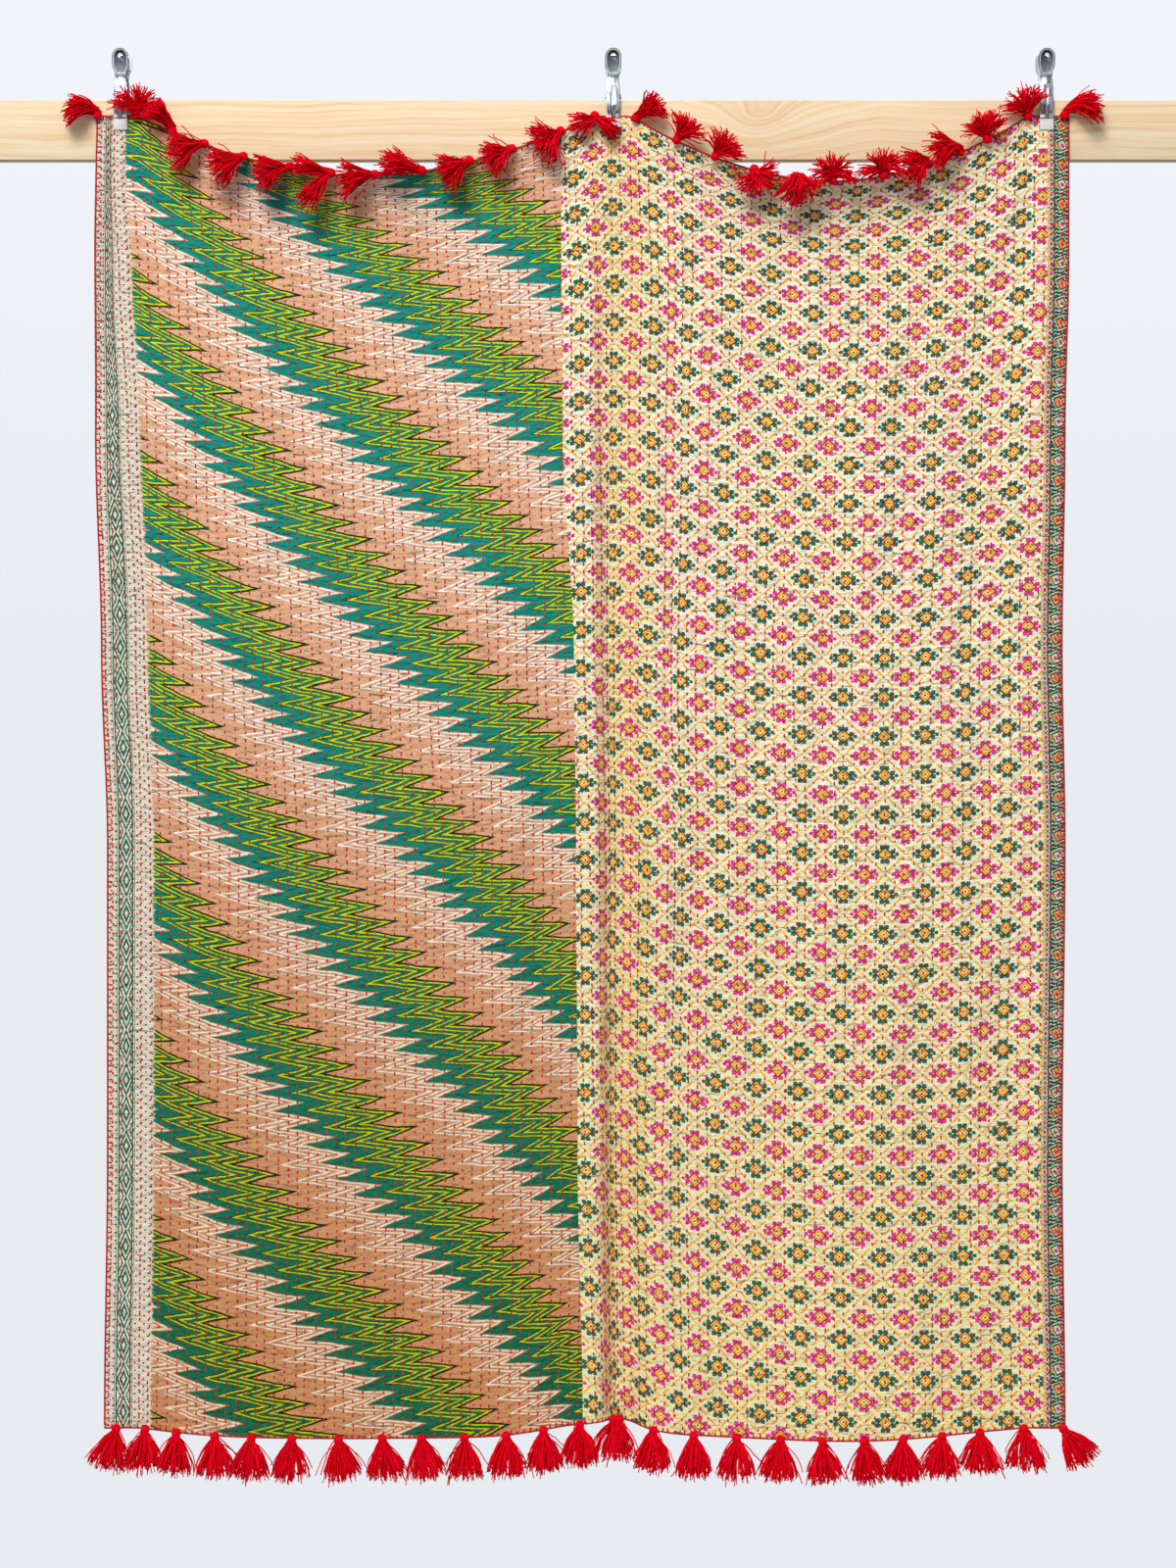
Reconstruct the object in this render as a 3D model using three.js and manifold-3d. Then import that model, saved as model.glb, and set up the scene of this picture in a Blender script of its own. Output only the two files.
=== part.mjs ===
// Kantha quilt with tasselled ends, hung from a pine rail by three sprung steel clips.
// Millimetres, +Z up, seen from the front along +Y.
// The origin is on the rail's back face, at mid height.
import * as THREE from 'three';
import { mergeVertices } from 'three/addons/utils/BufferGeometryUtils.js';
import Module from 'manifold-3d';

const wasm = await Module();
wasm.setup();

// Driving dimensions
const gap = 0.3; // between pieces that touch

const rail = { length: 1700, thickness: 20, height: 80 };

const clip = {
  places: { left: -630, middle: 34, right: 618 }, // along the rail
  width: 18.5,
  gauge: 1.6, // of the pressed steel
  padTop: 14.5, // heights are above the rail's middle
  padFoot: -0.7,
  padGauge: 2.2,
  lipProud: 1.6, // the rolled lip and the bow of the body, beyond the pad
  bowProud: 2.6,
  bowHeight: 32,
  neckHeight: 70.6,
  neckOut: 10.4, // distances out are from the clip's own middle plane
  neckHalfWidth: 7.4,
  handleLength: 38.5,
  handleHalfWidth: 11,
  handleSplay: 10.3, // degrees
  shoulderDrop: 12, // straight sides below the handle's round top
  eyeHeight: 29,
  eyeRadius: 3,
  pivotHeight: 46.5,
  pinRadius: 2,
  pinHeadRadius: 3.2,
  pinHeadGauge: 1.6,
  earGauge: 1.2,
  earHalfHeight: 4.4,
  frontEar: 8.2, // the rear leaf's ears sit inside the front leaf's
  rearEar: 6.5,
};

const cloth = {
  thickness: 2.4,
  puff: 0.5, // how far a quilted ridge swells each face
  ridgePitch: 26.4, // every second sewn row
  topHeight: 18.5, // of the top edge where a clip holds it
  length: 1769,
  rows: 15,
  rowCrowding: 2.2, // rows lie closer together near the top
  flatHem: 24, // width of the unquilted edge
  clearFrom: 4, // below the rail's middle the cloth comes forward, to clear its lower edge
  clearBy: 34,
  edgeClearance: 2.4, // extra room in front of the rail's lower edge
};

// The sides and the seam, from the top edge down to the hem
const outline = [
  { down: 0, left: -662, seam: -36, right: 648 },
  { down: 190, left: -665, seam: -36, right: 648 },
  { down: 425, left: -664, seam: -34, right: 643 },
  { down: 720, left: -656, seam: -19, right: 639 },
  { down: 980, left: -648, seam: -16, right: 643 },
  { down: 1400, left: -648, seam: -14, right: 639 },
  { down: 1769, left: -652, seam: -7, right: 643 },
];

// The top edge sags between the clips, and its middle falls forward
const swags = [
  { from: -606, to: 10, sag: 87, lean: 32 },
  { from: 58, to: 594, sag: 95, lean: 35 },
];
const swagShape = { power: 1.85, fade: 568, hemShare: 0.13, leanFade: 30 };

// Soft folds that grow towards the hem: where each runs, and how far it stands forward
const folds = [
  { top: -640, hem: -606, half: 50, forward: -6 },
  { top: -480, hem: -500, half: 90, forward: 9 },
  { top: -300, hem: -270, half: 100, forward: -6 },
  { top: -130, hem: -120, half: 80, forward: 7 },
  { top: 4, hem: 6, half: 26, forward: 14 },
  { top: 40, hem: 62, half: 30, forward: -21 },
  { top: 96, hem: 128, half: 44, forward: 9 },
  { top: 260, hem: 230, half: 90, forward: -5 },
  { top: 390, hem: 390, half: 90, forward: 9 },
  { top: 560, hem: 550, half: 70, forward: -7 },
];
const foldGrowth = { start: 58, full: 260, topShare: 0.35 };

// Creases that run down from the clips and die away: each is deepest half way along
const creases = [
  { fromX: -646, fromDown: 58, toX: -652, toDown: 430, half: 13, forward: -9 },
  { fromX: 44, fromDown: 60, toX: 128, toDown: 320, half: 17, forward: -6 },
  { fromX: 600, fromDown: 70, toX: 520, toDown: 330, half: 20, forward: -4 },
  { fromX: -606, fromDown: 70, toX: -520, toDown: 330, half: 20, forward: -4 },
];
const hemLift = { at: 20, half: 90, rise: 11 }; // the pleat draws the hem up

const tassel = {
  headRadius: 5.6,
  headHeight: 5.4,
  neckRadius: 3.3,
  neckDrop: 6,
  lockCount: 6,
  seatGap: 0.4, // a head stands this far off the cloth it is sewn to
  flatness: 0.7, // a plume is thinner from front to back
  stagger: 0.06, // neighbouring locks differ in length
};

// Plumes on the top edge: aim is 0 straight down, minus to the left, plus to the right
const topTassels = [
  { x: -660, aim: -96, reach: 40 },
  { x: -609, aim: 158, reach: 34 },
  { x: -558, aim: -128, reach: 38 },
  { x: -514, aim: -60, reach: 44 },
  { x: -461, aim: -55, reach: 44 },
  { x: -399, aim: -48, reach: 44 },
  { x: -343, aim: -105, reach: 40 },
  { x: -284, aim: -66, reach: 36 },
  { x: -222, aim: -108, reach: 38 },
  { x: -158, aim: -48, reach: 42 },
  { x: -102, aim: -70, reach: 38 },
  { x: -37, aim: -72, reach: 40 },
  { x: 9, aim: -42, reach: 34 },
  { x: 64, aim: 128, reach: 36 },
  { x: 119, aim: 132, reach: 36 },
  { x: 170, aim: 118, reach: 36 },
  { x: 222, aim: 48, reach: 34 },
  { x: 275, aim: 2, reach: 40 },
  { x: 326, aim: -150, reach: 32 },
  { x: 394, aim: -104, reach: 38 },
  { x: 454, aim: -72, reach: 34 },
  { x: 498, aim: -96, reach: 36 },
  { x: 535, aim: -118, reach: 32 },
  { x: 592, aim: -148, reach: 36 },
  { x: 641, aim: 118, reach: 42 },
];

// Tassels on the hem hang straight, but for a small lean
const hemTassels = [
  { x: -635, aim: -12 },
  { x: -596, aim: -3 },
  { x: -553, aim: -2 },
  { x: -501, aim: 4 },
  { x: -452, aim: -2 },
  { x: -398, aim: -3 },
  { x: -336, aim: 6 },
  { x: -277, aim: 9 },
  { x: -224, aim: 10 },
  { x: -166, aim: 1 },
  { x: -110, aim: 0 },
  { x: -60, aim: 2 },
  { x: -11, aim: -2 },
  { x: 38, aim: -4 },
  { x: 88, aim: -2 },
  { x: 142, aim: -1 },
  { x: 200, aim: -3 },
  { x: 259, aim: -5 },
  { x: 315, aim: 5 },
  { x: 370, aim: 9 },
  { x: 423, aim: 0 },
  { x: 476, aim: -4 },
  { x: 528, aim: 1 },
  { x: 587, aim: 4 },
  { x: 639.5, aim: 33 },
];

// How each edge's plumes stand off, sink under their weight and sit on the edge
const topForm = { spread: 11, forward: 14, sink: 5, rise: -0.6, seatHalf: 1.6 };
const hemForm = { reach: 50, spreadShare: 0.32, forward: 0, sink: 0, rise: 1, seatHalf: 2.8 };

const finishes = {
  pine: { color: 0xe3c79a, roughness: 0.6, metalness: 0 },
  steel: { color: 0xc9ccd0, roughness: 0.2, metalness: 1 },
  zigzag: { color: 0x6f8a52, roughness: 0.9, metalness: 0 },
  diamond: { color: 0xe6d79a, roughness: 0.9, metalness: 0 },
  yarn: { color: 0xb80f28, roughness: 0.95, metalness: 0 },
};

const quilt = new THREE.Group();

function addPiece(name, geometry, finish) {
  const mesh = new THREE.Mesh(geometry, new THREE.MeshStandardMaterial(finishes[finish]));
  mesh.name = name;
  quilt.add(mesh);
  return mesh;
}

// Joining and cutting
function toSolid(geometry) {
  const bare = geometry.clone();
  bare.deleteAttribute('normal');
  bare.deleteAttribute('uv');
  const merged = mergeVertices(bare, 1e-4);
  return new wasm.Manifold(new wasm.Mesh({
    numProp: 3,
    vertProperties: new Float32Array(merged.attributes.position.array),
    triVerts: new Uint32Array(merged.index.array),
  }));
}

function toGeometry(solid) {
  const mesh = solid.getMesh();
  const geometry = new THREE.BufferGeometry();
  geometry.setAttribute('position', new THREE.BufferAttribute(mesh.vertProperties, 3));
  geometry.setIndex(new THREE.BufferAttribute(mesh.triVerts, 1));
  geometry.computeVertexNormals();
  return geometry;
}

function joined(geometries) {
  return geometries.map(toSolid).reduce((whole, piece) => whole.add(piece));
}

// The rail: a planed board, divided where the clips stand
function railGeometry() {
  const marginBesideClip = 6;
  const halfPlace = clip.width / 2 + marginBesideClip;
  const stations = [-rail.length / 2];
  for (const x of Object.values(clip.places)) stations.push(x - halfPlace, x + halfPlace);
  stations.push(rail.length / 2);
  const lengths = stations.length - 1;
  const geometry = new THREE.BoxGeometry(1, rail.thickness, rail.height, lengths, 1, 1);
  const points = geometry.attributes.position;
  for (let i = 0; i < points.count; i++) {
    points.setX(i, stations[Math.round((points.getX(i) + 0.5) * lengths)]);
  }
  return geometry.translate(0, -rail.thickness / 2, 0);
}

// The clips: two pressed leaves that turn on one pin, each drawn with its outside towards -Y
const clothBack = -rail.thickness - gap;
const jawFace = clothBack - cloth.thickness - gap;
const clipMiddle = (jawFace + gap) / 2;
const jawOpening = clipMiddle - jawFace;

// Turns a flat outline of distance out and height into a plate across the clip
function acrossClip(shape, width, middle) {
  const geometry = new THREE.ExtrudeGeometry(shape, { depth: width, bevelEnabled: false });
  geometry.translate(0, 0, middle - width / 2);
  const turned = new THREE.Matrix4().makeBasis(
    new THREE.Vector3(0, -1, 0),
    new THREE.Vector3(0, 0, 1),
    new THREE.Vector3(-1, 0, 0),
  );
  return geometry.applyMatrix4(turned);
}

function outlineShape(corners) {
  return new THREE.Shape(corners.map(([out, height]) => new THREE.Vector2(out, height)));
}

// Jaw pad, rolled lip and bowed body, as one bent strip
function leafBody() {
  const padBack = jawOpening + clip.padGauge;
  const lipOut = padBack + clip.lipProud;
  const bowOut = padBack + clip.bowProud;
  const pivotOut = bowOut - clip.gauge;
  return acrossClip(outlineShape([
    [jawOpening, clip.padFoot],
    [padBack, clip.padFoot],
    [padBack, clip.padTop - clip.gauge],
    [lipOut, clip.padTop],
    [bowOut, clip.bowHeight],
    [pivotOut, clip.pivotHeight],
    [clip.neckOut + clip.gauge, clip.neckHeight],
    [clip.neckOut, clip.neckHeight],
    [pivotOut - clip.gauge, clip.pivotHeight],
    [bowOut - clip.gauge, clip.bowHeight],
    [lipOut - clip.gauge, clip.padTop + clip.gauge],
    [jawOpening, clip.padTop],
  ]), clip.width, 0);
}

// Round-topped handle with an eye, splayed outwards above the neck
function leafHandle() {
  const roundHeight = clip.handleLength - clip.handleHalfWidth;
  const shoulderHeight = roundHeight - clip.shoulderDrop;
  const shape = new THREE.Shape();
  shape.moveTo(-clip.neckHalfWidth, -clip.gauge);
  shape.lineTo(clip.neckHalfWidth, -clip.gauge);
  shape.lineTo(clip.handleHalfWidth, shoulderHeight);
  shape.absarc(0, roundHeight, clip.handleHalfWidth, 0, Math.PI, false);
  shape.lineTo(-clip.handleHalfWidth, shoulderHeight);
  const eye = new THREE.Path();
  eye.absarc(0, clip.eyeHeight, clip.eyeRadius, 0, 2 * Math.PI, true);
  shape.holes.push(eye);
  const settings = { depth: clip.gauge, bevelEnabled: false, curveSegments: 8 };
  const geometry = new THREE.ExtrudeGeometry(shape, settings);
  geometry.rotateX(Math.PI / 2);
  geometry.rotateX(THREE.MathUtils.degToRad(clip.handleSplay));
  return geometry.translate(0, -clip.neckOut, clip.neckHeight);
}

// A side ear, from the leaf's body in to the pin
function leafEar(middle) {
  const root = jawOpening + clip.padGauge;
  const reachPastPin = -clip.earHalfHeight;
  return acrossClip(outlineShape([
    [reachPastPin, clip.pivotHeight - clip.earHalfHeight],
    [root, clip.pivotHeight - clip.earHalfHeight],
    [root, clip.pivotHeight + clip.earHalfHeight],
    [reachPastPin, clip.pivotHeight + clip.earHalfHeight],
  ]), clip.earGauge, middle);
}

function crossPin(radius, length) {
  const geometry = new THREE.CylinderGeometry(radius, radius, length, 8);
  return geometry.rotateZ(Math.PI / 2).translate(0, 0, clip.pivotHeight);
}

function leafGeometry(isFront) {
  const earPlace = isFront ? clip.frontEar : clip.rearEar;
  const leaf = joined([leafBody(), leafHandle(), leafEar(-earPlace), leafEar(earPlace)]);
  if (isFront) return toGeometry(leaf.subtract(toSolid(crossPin(clip.pinRadius + gap, 2 * clip.width))));
  const headPlace = clip.frontEar + clip.earGauge / 2 + gap + clip.pinHeadGauge / 2;
  const heads = [-headPlace, headPlace].map(
    (x) => crossPin(clip.pinHeadRadius, clip.pinHeadGauge).translate(x, 0, 0),
  );
  const shaft = crossPin(clip.pinRadius, 2 * headPlace);
  return toGeometry(leaf.add(joined([shaft, ...heads])));
}

function addClips() {
  for (const [place, x] of Object.entries(clip.places)) {
    addPiece(`clip_${place}_front`, leafGeometry(true), 'steel').position.set(x, clipMiddle, 0);
    const rear = addPiece(`clip_${place}_rear`, leafGeometry(false), 'steel');
    rear.position.set(x, clipMiddle, 0);
    rear.rotation.z = Math.PI;
  }
}

// The hung cloth, worked out a row at a time from the top edge down
function sagShare(swag, x) {
  const t = (2 * x - swag.from - swag.to) / (swag.to - swag.from);
  return Math.abs(t) < 1 ? 1 - Math.abs(t) ** swagShape.power : 0;
}

function sidesAt(down) {
  const next = Math.max(1, outline.findIndex((row) => row.down >= down));
  const above = outline[next - 1];
  const below = outline[next];
  const t = THREE.MathUtils.smoothstep(down, above.down, below.down);
  const between = (name) => THREE.MathUtils.lerp(above[name], below[name], t);
  return { left: between('left'), seam: between('seam'), right: between('right') };
}

function heightAt(x, down) {
  const share = swagShape.hemShare + (1 - swagShape.hemShare) * Math.exp(-down / swagShape.fade);
  const sag = swags.reduce((sum, swag) => sum + swag.sag * sagShare(swag, x), 0);
  const lift = hemLift.rise * (down / cloth.length) ** 2;
  const drawnUp = lift * Math.exp(-(((x - hemLift.at) / hemLift.half) ** 2));
  return cloth.topHeight - down - sag * share + drawnUp;
}

function forwardAt(x, down) {
  const share = down / cloth.length;
  const growth = THREE.MathUtils.smoothstep(down, foldGrowth.start, foldGrowth.full)
    * THREE.MathUtils.lerp(foldGrowth.topShare, 1, share);
  let forward = 0;
  for (const swag of swags) {
    forward += swag.lean * sagShare(swag, x) * Math.exp(-down / swagShape.leanFade);
  }
  for (const fold of folds) {
    const middle = THREE.MathUtils.lerp(fold.top, fold.hem, share);
    forward += fold.forward * growth * Math.exp(-(((x - middle) / fold.half) ** 2));
  }
  for (const crease of creases) {
    const along = (down - crease.fromDown) / (crease.toDown - crease.fromDown);
    if (along <= 0 || along >= 1) continue;
    const middle = THREE.MathUtils.lerp(crease.fromX, crease.toX, along);
    const depth = crease.forward * Math.sin(Math.PI * along);
    forward += depth * Math.exp(-(((x - middle) / crease.half) ** 2));
  }
  return forward;
}

function depthAt(x, down) {
  const height = heightAt(x, down);
  const belowClips = THREE.MathUtils.smoothstep(-height, cloth.clearFrom, cloth.clearBy);
  const middle = clothBack - cloth.thickness / 2;
  return middle - cloth.edgeClearance * belowClips - forwardAt(x, down);
}

// Cloth that goes into a fold takes less room across, so the columns close up there
function panelRow(panel, down) {
  const sides = sidesAt(down);
  const from = sides[panel.from] + panel.inset.from;
  const to = sides[panel.to] - panel.inset.to;
  const evenStep = (to - from) / panel.columns;
  const reached = [0];
  for (let i = 0; i < panel.columns; i++) {
    const x = from + evenStep * i;
    const rise = forwardAt(x + evenStep, down) - forwardAt(x, down);
    const run = Math.sqrt(Math.max(evenStep ** 2 - rise ** 2, 0));
    reached.push(reached[i] + run);
  }
  const stretch = (to - from) / reached[panel.columns];
  return reached.map((run, i) => {
    const along = from + evenStep * i;
    return { x: from + run * stretch, y: depthAt(along, down), z: heightAt(along, down) };
  });
}

// Half the sheet's thickness: quilted ridges between sewn rows, flat along every edge
function halfThickness(panel, column, down) {
  const edgeX = Math.min(column, panel.columns - column) * cloth.ridgePitch / 2;
  const edge = Math.min(edgeX, down, cloth.length - down);
  const raised = THREE.MathUtils.smoothstep(edge, cloth.flatHem, 2 * cloth.flatHem);
  const ridge = column % 2 === 1 ? cloth.puff : -cloth.puff;
  return cloth.thickness / 2 + ridge * raised;
}

function makePanel(name, from, to, finish) {
  const seamInset = (side) => (side === 'seam' ? gap / 2 : 0);
  const width = sidesAt(0)[to] - sidesAt(0)[from];
  const panel = { from, to, inset: { from: seamInset(from), to: seamInset(to) } };
  panel.columns = 2 * Math.round(width / cloth.ridgePitch);
  panel.downs = [];
  for (let j = 0; j <= cloth.rows; j++) {
    panel.downs.push(cloth.length * (j / cloth.rows) ** cloth.rowCrowding);
  }
  panel.rows = panel.downs.map((down) => panelRow(panel, down));

  const geometry = new THREE.BoxGeometry(1, 1, 1, panel.columns, 1, cloth.rows);
  const points = geometry.attributes.position;
  for (let k = 0; k < points.count; k++) {
    const column = Math.round((points.getX(k) + 0.5) * panel.columns);
    const row = Math.round((0.5 - points.getZ(k)) * cloth.rows);
    const { x, y, z } = panel.rows[row][column];
    const side = Math.sign(points.getY(k));
    points.setXYZ(k, x, y + side * halfThickness(panel, column, panel.downs[row]), z);
  }
  addPiece(name, geometry, finish);
  return panel;
}

// Where the edge of the made-up cloth lies at x, on its top row or its hem row
function edgeSpot(panels, rowIndex, x) {
  const panel = panels.find(({ rows }) => x <= rows[rowIndex].at(-1).x) ?? panels.at(-1);
  const row = panel.rows[rowIndex];
  const next = Math.max(1, row.findIndex((point) => point.x >= x));
  const a = row[next - 1];
  const b = row[next];
  const t = (x - a.x) / (b.x - a.x);
  return { y: THREE.MathUtils.lerp(a.y, b.y, t), z: THREE.MathUtils.lerp(a.z, b.z, t) };
}

// A tassel: a knotted head whose lower facets each run on into one four-sided lock of yarn
function tasselGeometry({ reach, spread, forward, droop }) {
  const points = [];
  const faces = [];
  const count = tassel.lockCount;
  const addPoint = (x, y, z) => points.push(x, y, z) / 3 - 1;
  const addQuad = (a, b, c, d) => faces.push(a, b, c, a, c, d);
  const turn = (i) => (2 * Math.PI * i) / count;
  const addRing = (radius, z) => Array.from(
    { length: count },
    (_, i) => addPoint(radius * Math.cos(turn(i)), radius * Math.sin(turn(i)), z),
  );

  const crown = addPoint(0, 0, tassel.headHeight);
  const shoulder = addRing(0.8 * tassel.headRadius, 0.5 * tassel.headHeight);
  const girth = addRing(tassel.headRadius, -0.3 * tassel.headHeight);
  const neck = addRing(tassel.neckRadius, -tassel.neckDrop);
  const heart = addPoint(0, 0, -tassel.neckDrop - 1);

  // Along a lock's length, then its place and half sizes as shares of the plume's spread
  const stations = [
    { along: 0.45, out: 0.62, halfWidth: 0.22, halfDepth: 0.17 },
    { along: 1, out: 1, halfWidth: 0.34, halfDepth: 0.25 },
  ];
  for (let i = 0; i < count; i++) {
    const next = (i + 1) % count;
    faces.push(crown, shoulder[i], shoulder[next]);
    addQuad(shoulder[i], girth[i], girth[next], shoulder[next]);
    faces.push(heart, neck[next], neck[i]);

    const angle = turn(i + 0.5);
    const length = reach * (1 - tassel.stagger * (i % 3));
    let section = [girth[i], neck[i], neck[next], girth[next]];
    for (const station of stations) {
      const { along } = station;
      const radius = spread * station.out;
      const halfWidth = spread * station.halfWidth;
      const halfDepth = spread * station.halfDepth;
      const shift = new THREE.Vector3(0, -forward * along, -length * along)
        .addScaledVector(droop, along ** 2);
      const corners = [[halfDepth, -1], [-halfDepth, -1], [-halfDepth, 1], [halfDepth, 1]];
      const ring = corners.map(([radial, side]) => {
        const x = (radius + radial) * Math.cos(angle) - side * halfWidth * Math.sin(angle);
        const y = (radius + radial) * Math.sin(angle) + side * halfWidth * Math.cos(angle);
        return addPoint(x + shift.x, tassel.flatness * y + shift.y, shift.z);
      });
      for (let k = 0; k < 4; k++) {
        const m = (k + 1) % 4;
        addQuad(section[k], section[m], ring[m], ring[k]);
      }
      section = ring;
    }
    addQuad(...section);
  }
  const geometry = new THREE.BufferGeometry();
  geometry.setAttribute('position', new THREE.Float32BufferAttribute(points, 3));
  geometry.setIndex(faces);
  geometry.computeVertexNormals();
  return geometry;
}

function addTassel(name, spot, aim, form) {
  const angle = THREE.MathUtils.degToRad(-aim);
  const down = new THREE.Vector3(0, 0, -1).applyAxisAngle(new THREE.Vector3(0, 1, 0), -angle);
  const droop = down.multiplyScalar(form.sink);
  const mesh = addPiece(name, tasselGeometry({ ...form, droop }), 'yarn');
  const headDepth = tassel.headRadius * Math.cos(Math.PI / tassel.lockCount); // to a flat side
  const seat = spot.y - cloth.thickness / 2 - tassel.seatGap - headDepth;
  mesh.position.set(spot.x, seat, spot.z + form.rise);
  mesh.rotation.y = angle;
}

// A head sits against whatever stands furthest forward behind the middle of it
function tasselSpot(panels, rowIndex, x, seatHalf) {
  const { z } = edgeSpot(panels, rowIndex, x);
  const behind = [-1, 0, 1].map((side) => edgeSpot(panels, rowIndex, x + side * seatHalf).y);
  return { x, y: Math.min(...behind), z };
}

function addTassels(panels) {
  const number = (i) => String(i + 1).padStart(2, '0');
  topTassels.forEach(({ x, aim, reach }, i) => {
    const spot = tasselSpot(panels, 0, x, topForm.seatHalf);
    addTassel(`tassel_top_${number(i)}`, spot, aim, { ...topForm, reach });
  });
  hemTassels.forEach(({ x, aim }, i) => {
    const spot = tasselSpot(panels, cloth.rows, x, hemForm.seatHalf);
    const neighbours = [hemTassels[i - 1], hemTassels[i + 1]].filter(Boolean);
    const nearest = Math.min(...neighbours.map((other) => Math.abs(other.x - x)));
    const spread = hemForm.spreadShare * nearest;
    addTassel(`tassel_hem_${number(i)}`, spot, aim, { ...hemForm, spread });
  });
}

addPiece('rail', railGeometry(), 'pine');
addClips();
const panels = [
  makePanel('panel_zigzag', 'left', 'seam', 'zigzag'),
  makePanel('panel_diamond', 'seam', 'right', 'diamond'),
];
addTassels(panels);

export default quilt;
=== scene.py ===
# Kantha quilt with tasselled ends, hung from a pine rail by three sprung steel clips.
# Metres, +Z up, seen from the front along +Y. The origin is on the rail's back face.
import math
import bpy
import numpy as np
from mathutils import Matrix, Vector


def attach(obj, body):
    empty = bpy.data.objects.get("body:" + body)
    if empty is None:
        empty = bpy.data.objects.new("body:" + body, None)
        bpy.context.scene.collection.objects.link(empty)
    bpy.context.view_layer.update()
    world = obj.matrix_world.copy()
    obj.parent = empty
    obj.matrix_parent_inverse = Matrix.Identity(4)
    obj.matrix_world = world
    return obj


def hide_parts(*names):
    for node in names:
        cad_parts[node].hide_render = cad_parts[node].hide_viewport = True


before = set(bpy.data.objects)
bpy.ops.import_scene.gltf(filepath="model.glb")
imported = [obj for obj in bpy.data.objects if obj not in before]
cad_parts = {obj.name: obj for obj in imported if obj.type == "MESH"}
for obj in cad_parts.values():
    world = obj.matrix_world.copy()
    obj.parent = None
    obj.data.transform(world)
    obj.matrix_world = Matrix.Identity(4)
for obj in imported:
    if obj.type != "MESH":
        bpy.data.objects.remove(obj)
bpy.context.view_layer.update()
mm = 0.001


def fromHex(code):
    parts = [int(code[i:i + 2], 16) / 255 for i in (0, 2, 4)]
    linear = [c / 12.92 if c <= 0.04045 else ((c + 0.055) / 1.055) ** 2.4 for c in parts]
    return (*linear, 1.0)


def newMaterial(name):
    material = bpy.data.materials.new(name)
    material.use_nodes = True
    material.node_tree.nodes.clear()
    return material, material.node_tree


# One node with its settings; inputs are sockets to link or plain values
def addNode(tree, kind, inputs=None, **settings):
    node = tree.nodes.new("ShaderNode" + kind)
    for name, value in settings.items():
        setattr(node, name, value)
    for key, value in (inputs or {}).items():
        if isinstance(value, bpy.types.NodeSocket):
            tree.links.new(value, node.inputs[key])
        else:
            node.inputs[key].default_value = value
    return node.outputs


def setRamp(ramp, stops, interpolation="CONSTANT"):
    ramp.interpolation = interpolation
    while len(ramp.elements) < len(stops):
        ramp.elements.new(1.0)
    for element, (place, colour) in zip(ramp.elements, stops):
        element.position = place
        element.color = fromHex(colour) if isinstance(colour, str) else colour


# A mesh from arrays: points, faces of one size, and each point's places by name of UV map
def meshPiece(name, points, faces, materials, places=None, slots=None):
    mesh = bpy.data.meshes.new(name)
    mesh.from_pydata(points.tolist(), [], faces.tolist())
    for material in materials:
        mesh.materials.append(material)
    for label, place in (places or {}).items():
        layer = mesh.uv_layers.new(name=label)
        layer.data.foreach_set("uv", place[faces.ravel()].astype(np.float32).ravel())
    if slots is not None:
        mesh.polygons.foreach_set("material_index", slots.astype(np.int32))
    mesh.polygons.foreach_set("use_smooth", np.ones(len(faces), dtype=bool))
    mesh.update()
    piece = bpy.data.objects.new(name, mesh)
    bpy.context.scene.collection.objects.link(piece)
    return piece


# Camera, light and floor
studio = {
    "axisHeight": -0.882,  # of the camera
    "distance": 4.0,  # from the cloth
    "pictureHeight": 2.112,  # what the picture takes in at the cloth
    "sensor": 36.0,
    "clothPlane": -0.025,
    "backdrop": "E8EBEF",
    "fillLow": 0.16,  # brightness of the surroundings as the cloth sees them, below and above
    "fillHigh": 0.78,
    "glowHigh": 1.09,  # of the backdrop towards the top
    "glowRise": (0.05, 0.22),  # where it grows, as a share of the way to straight up
    "keyPlace": (-1.45, -6.1, 3.6),
    "keySize": 2.7,
    "keyAim": (0.0, 0.0, -0.7),
    "keyPower": 445.0,
    "floorHeight": -2.25,
    "floorRadius": 1.15,
    "floorSides": 96,
}


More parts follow.
